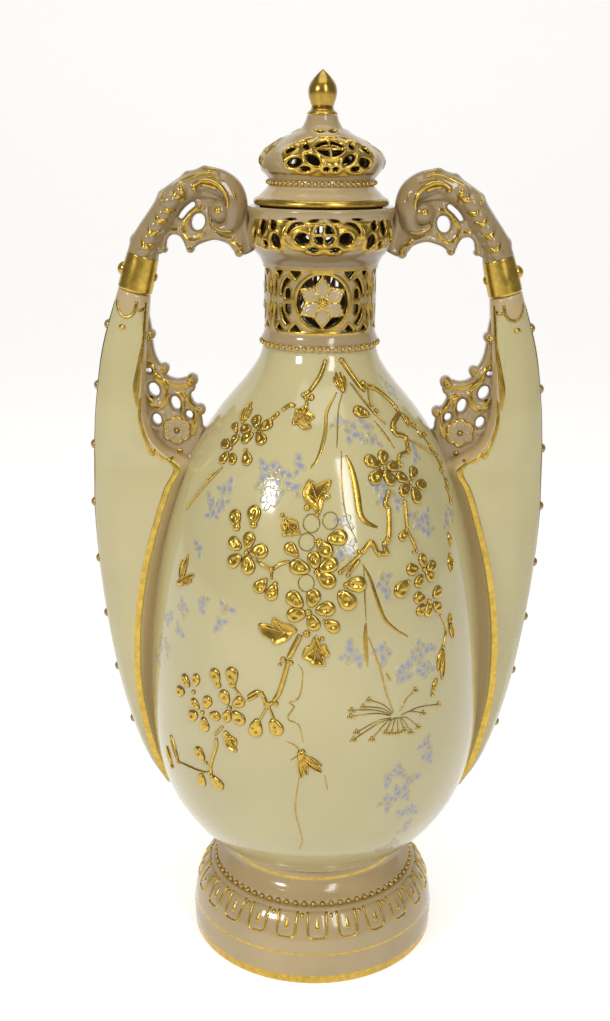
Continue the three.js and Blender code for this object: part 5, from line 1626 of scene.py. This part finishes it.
BRANCHES = [                  # half width and points
    (0.85, [(21, 262), (33, 251.5), (36, 252)]),
    (0.8, [(37, 252), (44, 251), (49, 249), (54, 245), (55, 241)]),
    (0.85, [(55, 241), (45, 238), (43, 235), (49, 233), (47, 228)]),
    (0.7, [(46, 228), (40, 227), (38, 224)]), (0.75, [(5, 261.5), (0, 256), (-7, 251)]),
    (0.6, [(-7, 251), (-11, 249.5), (-8, 247.5)]), (0.85, [(30, 216), (27, 211.5), (28.5, 210)]),
    (0.9, [(28.5, 210), (26.5, 199), (24.5, 197.5), (25, 194)]),
    (0.85, [(25, 194), (21.5, 194.5), (19.5, 198.5), (15.5, 195)]),
    (0.6, [(15.5, 195), (12, 192), (7.5, 188.5)]), (0.6, [(14.5, 192.5), (10, 187.5)]),
    (0.7, [(36.5, 211), (35, 201)]), (0.55, [(35, 201), (37, 196), (38, 192)]),
    (0.95, [(-5.5, 165), (-9, 156)]), (0.8, [(-9, 155), (-11.5, 143), (-13.5, 138)]),
    (0.7, [(-13.5, 138), (-15.5, 136.5), (-17, 139.5), (-19, 141), (-22, 138.5)]),
    (0.6, [(-19, 139.5), (-22, 137)]), (0.55, [(-31, 123.5), (-34, 119)]),
    (0.6, [(-33.5, 117.5), (-33.5, 114), (-36, 105), (-36, 101)]),
    (0.6, [(-21, 190.5), (-16.5, 188.5)]), (0.65, [(-15.5, 189), (-13, 191), (-10, 192)]),
    (0.7, [(-28.5, 240.5), (-25, 243)]), (0.65, [(-23.5, 244), (-19, 246), (-16, 245.5)]),
    (0.4, [(-47, 221.5), (-52, 216), (-63, 202)]), (0.45, [(-16.2, 188.5), (-16, 185)]),
    (0.4, [(-15.5, 135.5), (-18.5, 128.5)]), (0.4, [(-15, 135.5), (-13, 130)]),
    (0.35, [(-36.5, 101.5), (-40, 100), (-49, 99), (-53, 98)]), (0.35, [(-23, 136), (-27, 141)]),
    (0.35, [(45.5, 166), (48, 159.5), (46, 152)]), (0.3, [(51.5, 231.5), (67, 223.5)]),
    (0.3, [(25, 253.5), (31, 247), (34.5, 243), (39.5, 238.5)]),
    (0.35, [(41, 252), (36, 247.5), (36, 245)])]
GRASSES = [                   # half width and points
    (0.75, [(12.5, 250.5), (4.5, 244), (3, 237), (-0.5, 229), (-4, 225)]),
    (0.3, [(17, 250.5), (11.5, 244), (8.5, 232)]),
    (0.3, [(10.5, 231), (9.5, 220), (10.5, 208.5), (14, 199)]),
    (0.5, [(33, 240), (36.5, 235), (39, 230)]),
    (1.4, [(12.5, 229.5), (14.5, 224.5), (15.5, 216.5), (16, 209.5), (18, 206), (22.5, 203.5)]),
    (0.8, [(15.5, 191), (18, 185.5), (20, 177.5), (22.5, 169.5), (26.5, 164.5), (31, 161)]),
    (0.3, [(16, 190), (15.8, 177.5), (16, 169.5)]), (0.95, [(15.8, 169), (15.6, 161), (16.1, 152)]),
    (0.4, [(16.6, 163.5), (20.5, 149.5), (22.5, 140), (25, 132)]), (0.5, [(22.3, 148.5), (24, 145)]),
    (0.3, [(-6, 153.5), (-4.5, 150), (-5.5, 140.5), (-8.5, 138), (-7, 136.5), (-9, 131.5), (-5.5, 129),
     (-4, 122)]),
    (0.3, [(-5, 109), (-6.5, 92), (-4.5, 77.5), (-5.5, 70)]),
    (0.25, [(-9.5, 122), (-6.5, 120.5), (-5, 118)]), (0.25, [(2.8, 108), (3.7, 101.5)]),
    (0.25, [(-5, 117), (-8, 114)])]
BLOSSOMS = [                  # the heart's place and size, then the petals'
    [(-35, 236, 0.8), (-43, 236, 2.2), (-38, 239.5, 2.3), (-30, 238.5, 2.4), (-30.5, 233.5, 2.4),
     (-39.5, 233, 2.3)],
    [(-46.5, 228.5, 0.9), (-52, 229.5, 2.2), (-46.5, 232, 2), (-48.5, 224.5, 2.2), (-42.5, 225, 2)],
    [(-48, 234.5, 0.7), (-51.5, 236, 1.7)], [(-37, 229, 0.8), (-34.5, 226, 2.3)],
    [(-32, 202, 1.7), (-33.5, 205.5, 2.7)], [(-25, 204, 1.6), (-25.5, 208, 2.9)],
    [(-26.3, 193.3, 1.1), (-26, 198.5, 2.6), (-32, 196, 2.6), (-21, 194.7, 2.9), (-31, 189.5, 2.7),
     (-25, 188.5, 3)],
    [(-18, 184.5, 0.9), (-20, 181.7, 2.5)], [(-14.5, 183.5, 1), (-15.7, 179.7, 2.6)],
    [(-7.5, 194.5, 0.8), (-10, 196.7, 2.4)],
    [(-0.5, 188.6, 1.2), (-1.5, 193.5, 2.6), (4, 191.3, 3), (-7, 190.3, 3.1), (3.2, 185.5, 3.1)],
    [(0.3, 199.4, 1.4), (7.5, 201, 3.1), (2.5, 196.5, 2.9)], [(-1.2, 199.8, 0.7)],
    [(-3, 173.6, 1.3), (-1.5, 179.5, 2.8), (3, 175, 2.9), (-8, 178.5, 3), (-7.5, 172.5, 2.9),
     (-1.3, 169.3, 2.6)],
    [(9.5, 183.6, 1.2), (13.5, 183.7, 3.1)], [(7.5, 181, 0.8), (9.8, 177.6, 3.4)],
    [(2.2, 170.5, 0.7), (5, 168.3, 2.5)],
    [(28.6, 224, 1), (31, 228, 2.4), (24, 227, 2.6), (24.5, 221, 2.7), (35, 224.2, 2.3),
     (31.5, 220, 2.7)],
    [(41.8, 217.3, 0.9), (37.5, 220, 2.3), (45.5, 220.7, 2.3), (48.3, 215.5, 2.4), (37.2, 215, 2.4),
     (43.2, 212, 2.7)],
    [(39.5, 224, 0.9)], [(29.5, 242.6, 1.2), (25.5, 243.6, 2.7)],
    [(40.2, 185, 1), (40, 189, 2.2), (34.5, 186.3, 2.4), (44.3, 185.5, 2.3), (42.6, 182, 2.2),
     (37, 181, 2.2)],
    [(32.5, 182, 0.9), (29.3, 179.5, 3)],
    [(40.8, 172.6, 1), (45.5, 175.2, 2.3), (36.3, 175, 2.4), (36.6, 170, 2.1), (40, 169, 2.3),
     (44.8, 169.2, 2.2)],
    [(35.5, 202, 0.7), (32.5, 199, 1.8)], [(36.2, 192.5, 0.6)],
    [(-43.5, 133.6, 1), (-48, 137, 2.4), (-42.5, 139.5, 2.1), (-50.8, 131, 2.3)],
    [(-33, 140.3, 1.4), (-34.5, 144, 2.5)], [(-27.5, 142, 1.5), (-28, 146, 2.8)],
    [(-39.3, 126.5, 1), (-43, 129, 2.1), (-37.2, 132, 2.3), (-44, 123.3, 2.4), (-38.3, 121.3, 2.4),
     (-33.8, 127, 2.1)],
    [(-28.5, 132, 1.1), (-30.5, 136.5, 2.4), (-25, 135.5, 2.3), (-25, 128.5, 2.6), (-29.5, 128, 2.1)],
    [(-18.9, 128.5, 1.6), (-19.3, 125.3, 2.9)], [(-13.5, 129.5, 0.9), (-12.5, 127, 2.8)],
    [(-38, 105, 0.7), (-41, 108.3, 2.5)], [(-40.5, 98.5, 0.7), (-41, 95.3, 2.4)],
    [(-36, 100, 0.8), (-33.6, 97, 2.7)]]
KNOTS = [                     # swellings of the branches: place and size
    (36.5, 252.8, 1.2), (44, 251, 1.1), (34.5, 250.8, 1), (54.5, 243, 1.1), (44, 236.5, 1.2),
    (49.5, 232.5, 1.1), (47, 228.2, 1.1), (39, 226.3, 0.9), (5, 261.3, 1), (21, 261.6, 1.2),
    (-11.8, 249.6, 0.9), (-5.6, 248.8, 1.2), (-8.5, 246.5, 0.8), (29.5, 215.6, 1.1), (27, 211.3, 1),
    (26, 199, 1.1), (25, 194, 1.2), (22, 194, 1.1), (19.4, 198.3, 1.2), (14.5, 195.5, 0.9),
    (7.5, 188.3, 0.9), (10.2, 187.2, 0.9), (36.3, 211, 1), (34.7, 201, 0.9), (37.2, 196, 0.8),
    (-10.8, 155, 1.2), (-8.3, 154, 1), (-11.8, 153, 0.7), (-15.6, 136.2, 1.4), (-12.8, 137.2, 1.1),
    (-17.5, 140.6, 0.9), (-3.5, 165.5, 1.4), (1.5, 163.7, 0.9), (-1, 163.5, 0.8), (-16.3, 188.6, 1.1),
    (-22, 191, 0.6), (-28.5, 240.3, 0.8), (-52, 217.4, 0.7), (-53, 215.5, 0.6), (-50.5, 218.5, 0.5),
    (17.5, 251.5, 1.2), (37, 243.2, 0.9), (35.5, 245.5, 0.8), (-36.2, 104.5, 0.8), (-4.9, 117.5, 1.2),
    (-4.6, 211.6, 1.3), (-0.7, 209, 0.9), (-14, 208.5, 0.8), (61, 235.5, 0.8), (40.3, 134.6, 0.8)]
HOOPS = [(-2.7, 206, 3.1), (4.4, 207, 2.9), (-4.2, 199.3, 3.0), (-4, 184.4, 3.0)]
LEAVES = [                    # the stalk's place and turn, and lobes of (turn, length, half width)
    ((17.5, 251), 95, [(30, 5.5, 0.9), (10, 6.5, 0.9), (-10, 6.3, 0.8), (-30, 5, 0.8)]),
    ((-47, 238), 100, [(30, 5.2, 1.1), (2, 7, 1.2), (-24, 5, 1)]),
    ((-53, 98), 118, [(-4, 11.5, 1)]), ((-59, 92.5), 105, [(0, 9, 0.9)]),
    ((46, 152.5), 255, [(-6, 9.5, 1.7), (12, 13, 1.2)]), ((50.5, 160.5), 285, [(0, 6.5, 1.2)]),
    ((50.5, 160.5), 80, [(0, 4, 1)]), ((55.5, 187), 262, [(0, 6.5, 1.6)]),
    ((57.5, 190.5), 85, [(0, 4.5, 0.8)]), ((56, 240.5), 305, [(0, 5.5, 1.2)]),
    ((40.5, 136.5), 60, [(0, 5, 0.8)])]
LOBED_LEAVES = [              # middle, stalk, and the outline's (degrees, radius) about the middle
    ((-1.3, 216.7), 279, [(38, 7.6), (60, 4.5), (90, 2.6), (117, 5.6), (150, 4.8), (180, 5),
     (237, 5), (265, 6), (279, 7.9), (300, 5.2), (318, 3.8), (347, 5.8), (370, 4)]),
    ((-12.9, 165.3), 8, [(10, 7.9), (60, 4.3), (85, 4.4), (110, 6.1), (135, 3.3), (162, 8.2),
     (188, 7), (211, 4.9), (232, 4), (254, 5), (302, 4.3), (355, 5.5)]),
    ((-0.5, 158.2), 90, [(20, 4.6), (45, 5.2), (60, 3.2), (90, 6.9), (120, 3.6), (156, 4.5),
     (202, 5.5), (230, 4.2), (260, 5.2), (285, 5), (305, 6.5), (326, 3.6), (350, 5.6)]),
    ((-9.7, 242.1), 79, [(0, 4.6), (25, 3.3), (50, 2.8), (79, 4.3), (110, 3.4), (145, 4.2), (180, 3.5),
     (215, 4.8), (235, 3), (262, 3.6), (280, 4.2), (317, 5.2), (335, 2.7)]),
    ((-10.8, 204.1), 124, [(0, 3.4), (47, 3.7), (102, 3.3), (124, 5), (140, 3.4), (165, 3.5),
     (200, 2.8), (234, 4), (262, 2.8), (291, 3.2), (310, 3.2), (335, 4.9)]),
    ((-28.2, 118.1), 123, [(29, 3.2), (60, 2.4), (90, 2.6), (123, 4.8), (160, 2.8), (200, 2.4),
     (233, 2.9), (279, 3.8), (308, 5.2), (330, 2.8), (349, 3.2)])]
RAYS = [(16.6, 138.5), (14.7, 136), (11, 135), (10.7, 132.4), (12.6, 125.7), (11.6, 122.7), (17.6, 122),
        (22.3, 124), (24.5, 123.3), (26.8, 123), (29, 123.3), (31.5, 121.8), (43.3, 129.6), (36.5, 128.2),
        (34.5, 123), (33.1, 138.9)]
RAY_HEART = (26.2, 130.4)
TRAIL_LEAVES = [(57, 239), (60, 236.5), (63, 234), (66, 232), (67, 228), (67, 224), (70, 221), (66, 218),
                (69, 214), (65.5, 211), (67, 207)]
TRAIL_STEM = [(54, 241), (60, 236), (65, 231), (68, 225), (68.5, 218), (67.5, 211), (66.5, 205)]
WINGS = [                     # an insect's body, then wings of (turn, length, half width)
    ((-55.5, 174.5), 15, [(80, 12.0, 1.3), (98, 9.0, 1.1), (34, 10.0, 1.2), (20, 8.0, 0.9)]),
    ((-4.6, 116.5), 252, [(18, 9.5, 1.2), (34, 8.5, 1.0), (66, 10.5, 1.2), (80, 9.0, 1.0)])]

trailed, brushed, gold_pads = [], [], []
for half, path in BRANCHES:
    trailed.append(trail(path, 1.2 * half, 0.55 + 0.6 * half, 0.8))
for half, path in GRASSES:
    rise, ends = (0.30, 0.3) if half < THIN else (0.16, 0.06)
    brushed.append(trail(path, half, rise, ends))
for x, z, radius in HOOPS:
    around = np.linspace(0, 2 * math.pi, 33)
    hoop = np.stack([radius * np.cos(around), 1.06 * radius * np.sin(around)], 1)
    trailed.append(ridge(on_belly((x, z)), hoop, 0.22, 0.3, sink=PAD_EDGE))
for middle, degrees, lobes in LEAVES:
    gold_pads += leaf(middle, degrees, lobes)
for x, z, radius in KNOTS:
    gold_pads.append(boss(on_belly((x, z)), (0, 0), radius, BUTTON))
for middle, stalk, edge in LOBED_LEAVES:
    gold_pads += lobed_leaf(middle, stalk, edge)
for tip in RAYS:
    bowed = ((RAY_HEART[0] + tip[0]) / 2, (RAY_HEART[1] + tip[1]) / 2 + 1.2)
    near = tuple(0.85 * a + 0.15 * b for a, b in zip(RAY_HEART, tip))
    trailed.append(trail([near, bowed, tip], 0.25, 0.35, 0.7))
    for x, z in ((0, 0.7), (-0.8, -0.3), (0.8, -0.5)):
        gold_pads.append(boss(on_belly(tip), (x, z), 0.6, [(1, 0), (0.85, 0.4), (0.4, 0.7)]))
for number, spot in enumerate(TRAIL_LEAVES):
    turn = 300 + (35 if number % 2 else -35)
    gold_pads += lobe(spot, (0, 0), turn, 3.2, 0.6)
trailed.append(trail(TRAIL_STEM, 0.3, 0.4))
for middle, degrees, wings in WINGS:
    along = math.radians(degrees)
    gold_pads.append(boss(on_belly(middle), (0, 0), 1.5, [
        (1, 0), (0.9, 0.7), (0.6, 1.2), (0.3, 1.4)], along, (1.9, 0.9)))
    for turn, length, half in wings:
        gold_pads += lobe(middle, (0, 0), turn if degrees < 90 else degrees + turn, length, half)


def lift_over_belly(points):
    """How far points stand over the belly's glaze, in mm."""
    height = points[:, 2]
    slope = belly_r(height + 0.5) - belly_r(height - 0.5)
    return (np.hypot(points[:, 0], points[:, 1]) - belly_r(height)) / np.sqrt(1 + slope ** 2)


# The darkening at the foot of the raised paste is partly painted shade and partly the brown outline that
# the paste has.
FOOT_SHADE = 0.42             # below this height a raised line is brown, up to a most for each kind
for name, parts, most in (("belly_branches", trailed, 1.0), ("belly_grasses", brushed, 0.22),
                          ("belly_leaves", gold_pads, 1.0)):
    points, faces = gathered(parts)
    made = piece_of(name, points, faces, 9)
    # Painted shade and the brown outline at the foot of each raised line.
    add_share(made, "hollow", np.clip((FOOT_SHADE - lift_over_belly(points)) / 0.35, 0, most))
    finish_piece(made, "vase", "gilding", gilding)


def laid_tree():
    """A tree that lays copies of one shape on points, each turned and sized by its point."""
    tree, group_in, group_out = node_tree("laid", {
        "Shape": ("NodeSocketObject", None), "Finish": ("NodeSocketMaterial", None)})
    shape = node_in(tree, "GeometryNodeObjectInfo")
    copies = node_in(tree, "GeometryNodeInstanceOnPoints")
    for name, socket in (("facing", "Rotation"), ("size", "Scale")):
        value = node_in(tree, "GeometryNodeInputNamedAttribute", data_type="FLOAT_VECTOR")
        value.inputs["Name"].default_value = name
        wire(tree, (value, 0, copies, socket))
    wire(tree, (group_in, "Shape", shape, 0), (group_in, 0, copies, "Points"),
         (shape, "Geometry", copies, "Instance"))
    close_tree(tree, copies, group_in, group_out)
    return tree


laying = laid_tree()


def laid_on_belly(name, shape, material, slot, spots):
    """Copies of a shape on the belly, at spots of (degrees, height, turn, length, width, tall)."""
    places, facings, sizes = [], [], []
    for degrees, height, turn, length, width, tall in spots:
        place = on_belly((degrees, height))
        reach = np.array([0, 0.1 * math.cos(turn), -0.1 * math.sin(turn)])
        rise = np.array([0, 0.1 * math.sin(turn), 0.1 * math.cos(turn)])
        corner = place(reach, rise, 0.0)
        along = Vector(corner[1] - corner[0]).normalized()
        out = along.cross(Vector(corner[2] - corner[0])).normalized()
        facing = Matrix((along, out.cross(along), out)).transposed()
        places.append(Vector(corner[0]) * MM)
        facings.append(facing.to_euler())
        sizes.append((length, width, tall))
    spots_mesh = bpy.data.meshes.new(name + "_spots")
    spots_mesh.from_pydata(places, [], [])
    for label, values in (("facing", facings), ("size", sizes)):
        layer = spots_mesh.attributes.new(label, "FLOAT_VECTOR", "POINT")
        layer.data.foreach_set("vector", np.array([tuple(v) for v in values], np.float32).ravel())
    made = grown(name, spots_mesh, laying, {"Shape": shape, "Finish": material})
    bpy.data.objects.remove(shape)
    finish_piece(made, "vase", slot, material)


def flat_place(x, y, lift):
    return np.stack([x, y, lift + 0 * x], -1)


def petal_shape(name, dents):
    """A plump petal 1 mm wide from its middle, pointed towards the flower's heart at +X."""
    around = np.arange(22) * 2 * math.pi / 22
    point = np.clip(np.cos(around), 0, 1) ** 3
    edge = 1 + 0.42 * point - 0.10 * np.abs(np.sin(2 * around)) * (np.cos(around) > 0)
    shares = [1.0, 0.98, 0.9, 0.78, 0.62, 0.45, 0.28, 0.12]
    points, faces = boss(flat_place, (0, 0), edge, [(share, 0) for share in shares])
    x, y = points[:, 0], points[:, 1]
    share = np.hypot(x, y) / np.interp(np.arctan2(y, x), around, edge, period=2 * math.pi)
    rise = 0.95 * np.clip(1 - share ** 3.2, 0, 1) ** 0.5 + 0.1
    for dent_x, dent_y, deep, wide in dents:
        rise -= deep * np.exp(-((x - dent_x) ** 2 + (y - dent_y) ** 2) / wide ** 2)
    points[:, 2] = np.where(points[:, 2] < 0, points[:, 2], rise)
    made = piece_of(name, points, faces, 9)
    # Darker where the petal lies low: painted shade in its dents, and the brown outline round its edge.
    add_share(made, "hollow", np.clip((0.62 - points[:, 2]) / 0.45, 0, 1))
    return made


PETAL_DENTS = [               # place, depth and width of the marks that the modelling tool left
    [(0.1, 0.05, 0.62, 0.30), (0.75, -0.1, 0.35, 0.22)], [(0, -0.2, 0.45, 0.34), (0.35, 0.3, 0.40, 0.20)],
    [(-0.15, 0.1, 0.35, 0.22), (0.4, -0.05, 0.55, 0.25)]]
PETAL_FULL = 1.1              # petals stand a little fuller than their gold
petal_spots = [[] for _ in PETAL_DENTS]
for order, (heart, *petals) in enumerate(BLOSSOMS):
    for number, (degrees, height, radius) in enumerate(petals):
        x, y = flat([heart[:2]], (degrees, height))[0]
        turn = math.atan2(y, x)
        spot = (degrees, height, turn, PETAL_FULL * radius, 0.94 * PETAL_FULL * radius, 0.7 + 0.15 * radius)
        petal_spots[(order + 2 * number) % len(PETAL_DENTS)].append(spot)
for number, (dents, spots) in enumerate(zip(PETAL_DENTS, petal_spots), 1):
    shape = petal_shape(f"petal_{number}", dents)
    laid_on_belly(f"belly_petals_{number}", shape, gilding, "gilding", spots)
heart_parts = []
for blossom in BLOSSOMS:
    degrees, height, radius = blossom[0]
    heart_parts.append(boss(on_belly((degrees, height)), (0, 0), radius, BUTTON))
points, faces = gathered(heart_parts)
hearts = piece_of("belly_hearts", points, faces, 9)
# Darker where a heart lies low: painted shade, and the brown outline round its edge.
add_share(hearts, "hollow", np.clip((0.5 - lift_over_belly(points)) / 0.5, 0, 1))
finish_piece(hearts, "vase", "gilding", gilding)

# Painted florets: soft dabs of blue and olive enamel, brushed on the ivory glaze and fired before
# the raised work is laid over them, like distant sprays.
BLUE = (0.275, 0.300, 0.450)
OLIVE = (0.400, 0.355, 0.225)
FLORETS = [
    (-24, 224), (-21, 225), (-24.5, 220.5), (-19, 222), (-16, 223), (-42, 214), (-39.5, 215),
    (-47.5, 209), (-44, 208.5), (-41, 209), (-20, 216.5), (-21.5, 214), (-17, 214.5), (-19, 213),
    (-48, 190.5), (-45, 204.5), (-42, 171), (-53, 165), (-32, 171), (-61, 157.5), (-8.5, 226),
    (-10, 218.5), (10.5, 241), (15.5, 237.5), (19.5, 236), (25, 217.5), (26.5, 213.5), (33, 212),
    (40, 205.5), (43.5, 203.5), (46, 204), (41, 201.5), (45.5, 198), (58.5, 199), (64, 201), (10, 207),
    (8, 195), (11, 196.5), (62, 251), (64, 247), (51.5, 226), (27, 238.5), (28, 234), (22.5, 185),
    (23, 180.5), (-53, 155.5), (-61, 157), (-66, 144.5), (-60, 145.5), (-68.5, 137.5), (-34, 165),
    (-42.5, 170), (-52, 166), (10, 156), (10.5, 159), (13, 155.5), (21, 158.5), (21.5, 154.5),
    (34.5, 155), (38.5, 154), (30.5, 150), (33, 152), (37, 148), (38.5, 146), (27.5, 147.5),
    (35, 146.5), (28.5, 145), (37.5, 114.5), (39.5, 112), (39.5, 108), (26, 106), (23.5, 103.5),
    (28, 105), (33, 100), (30.5, 97.5), (28, 95.5), (31, 93.5), (23.5, 94), (24.5, 91.5), (35.5, 84),
    (31.5, 84.5), (35, 75), (33.5, 66), (29.5, 65)]
GOLDEN_TURN = math.radians(137.5)


def dab_shape(name):
    """A touch of the brush: a thin disc whose colour fades out at its edge."""
    points, faces = boss(flat_place, (0, 0), 1.0, [(1, 0.03), (0.8, 0.07), (0.55, 0.08), (0.3, 0.08)])
    made = piece_of(name, points, faces, -9)
    reach = np.hypot(points[:, 0], points[:, 1])
    add_share(made, "blush", 0.14 - 0.3 * np.clip(reach / 0.95, 0, 1) ** 1.5)
    return made


for name, tone, picked in (("blue", BLUE, (0, 1, 2, 4)), ("olive", OLIVE, (3,))):
    enamel = glazed(f"{name}_enamel", IVORY, tuple(0.93 * c for c in IVORY), 0.12, tone)
    dabs = []
    for number, (degrees, height) in enumerate(FLORETS):
        for second in range(3):
            if (number + second) % 5 not in picked:
                continue
            turn = GOLDEN_TURN * (3 * number + second)
            away = 2.7 * (second > 0)
            x = degrees + math.degrees(away * math.cos(turn) / float(belly_r(height)))
            length = 2.9 - 0.5 * second
            dabs.append((x, height + away * math.sin(turn), turn, length, 0.62 * length, 1.0))
    laid_on_belly(f"{name}_florets", dab_shape(f"{name}_dab"), enamel, "ivory_glaze", dabs)
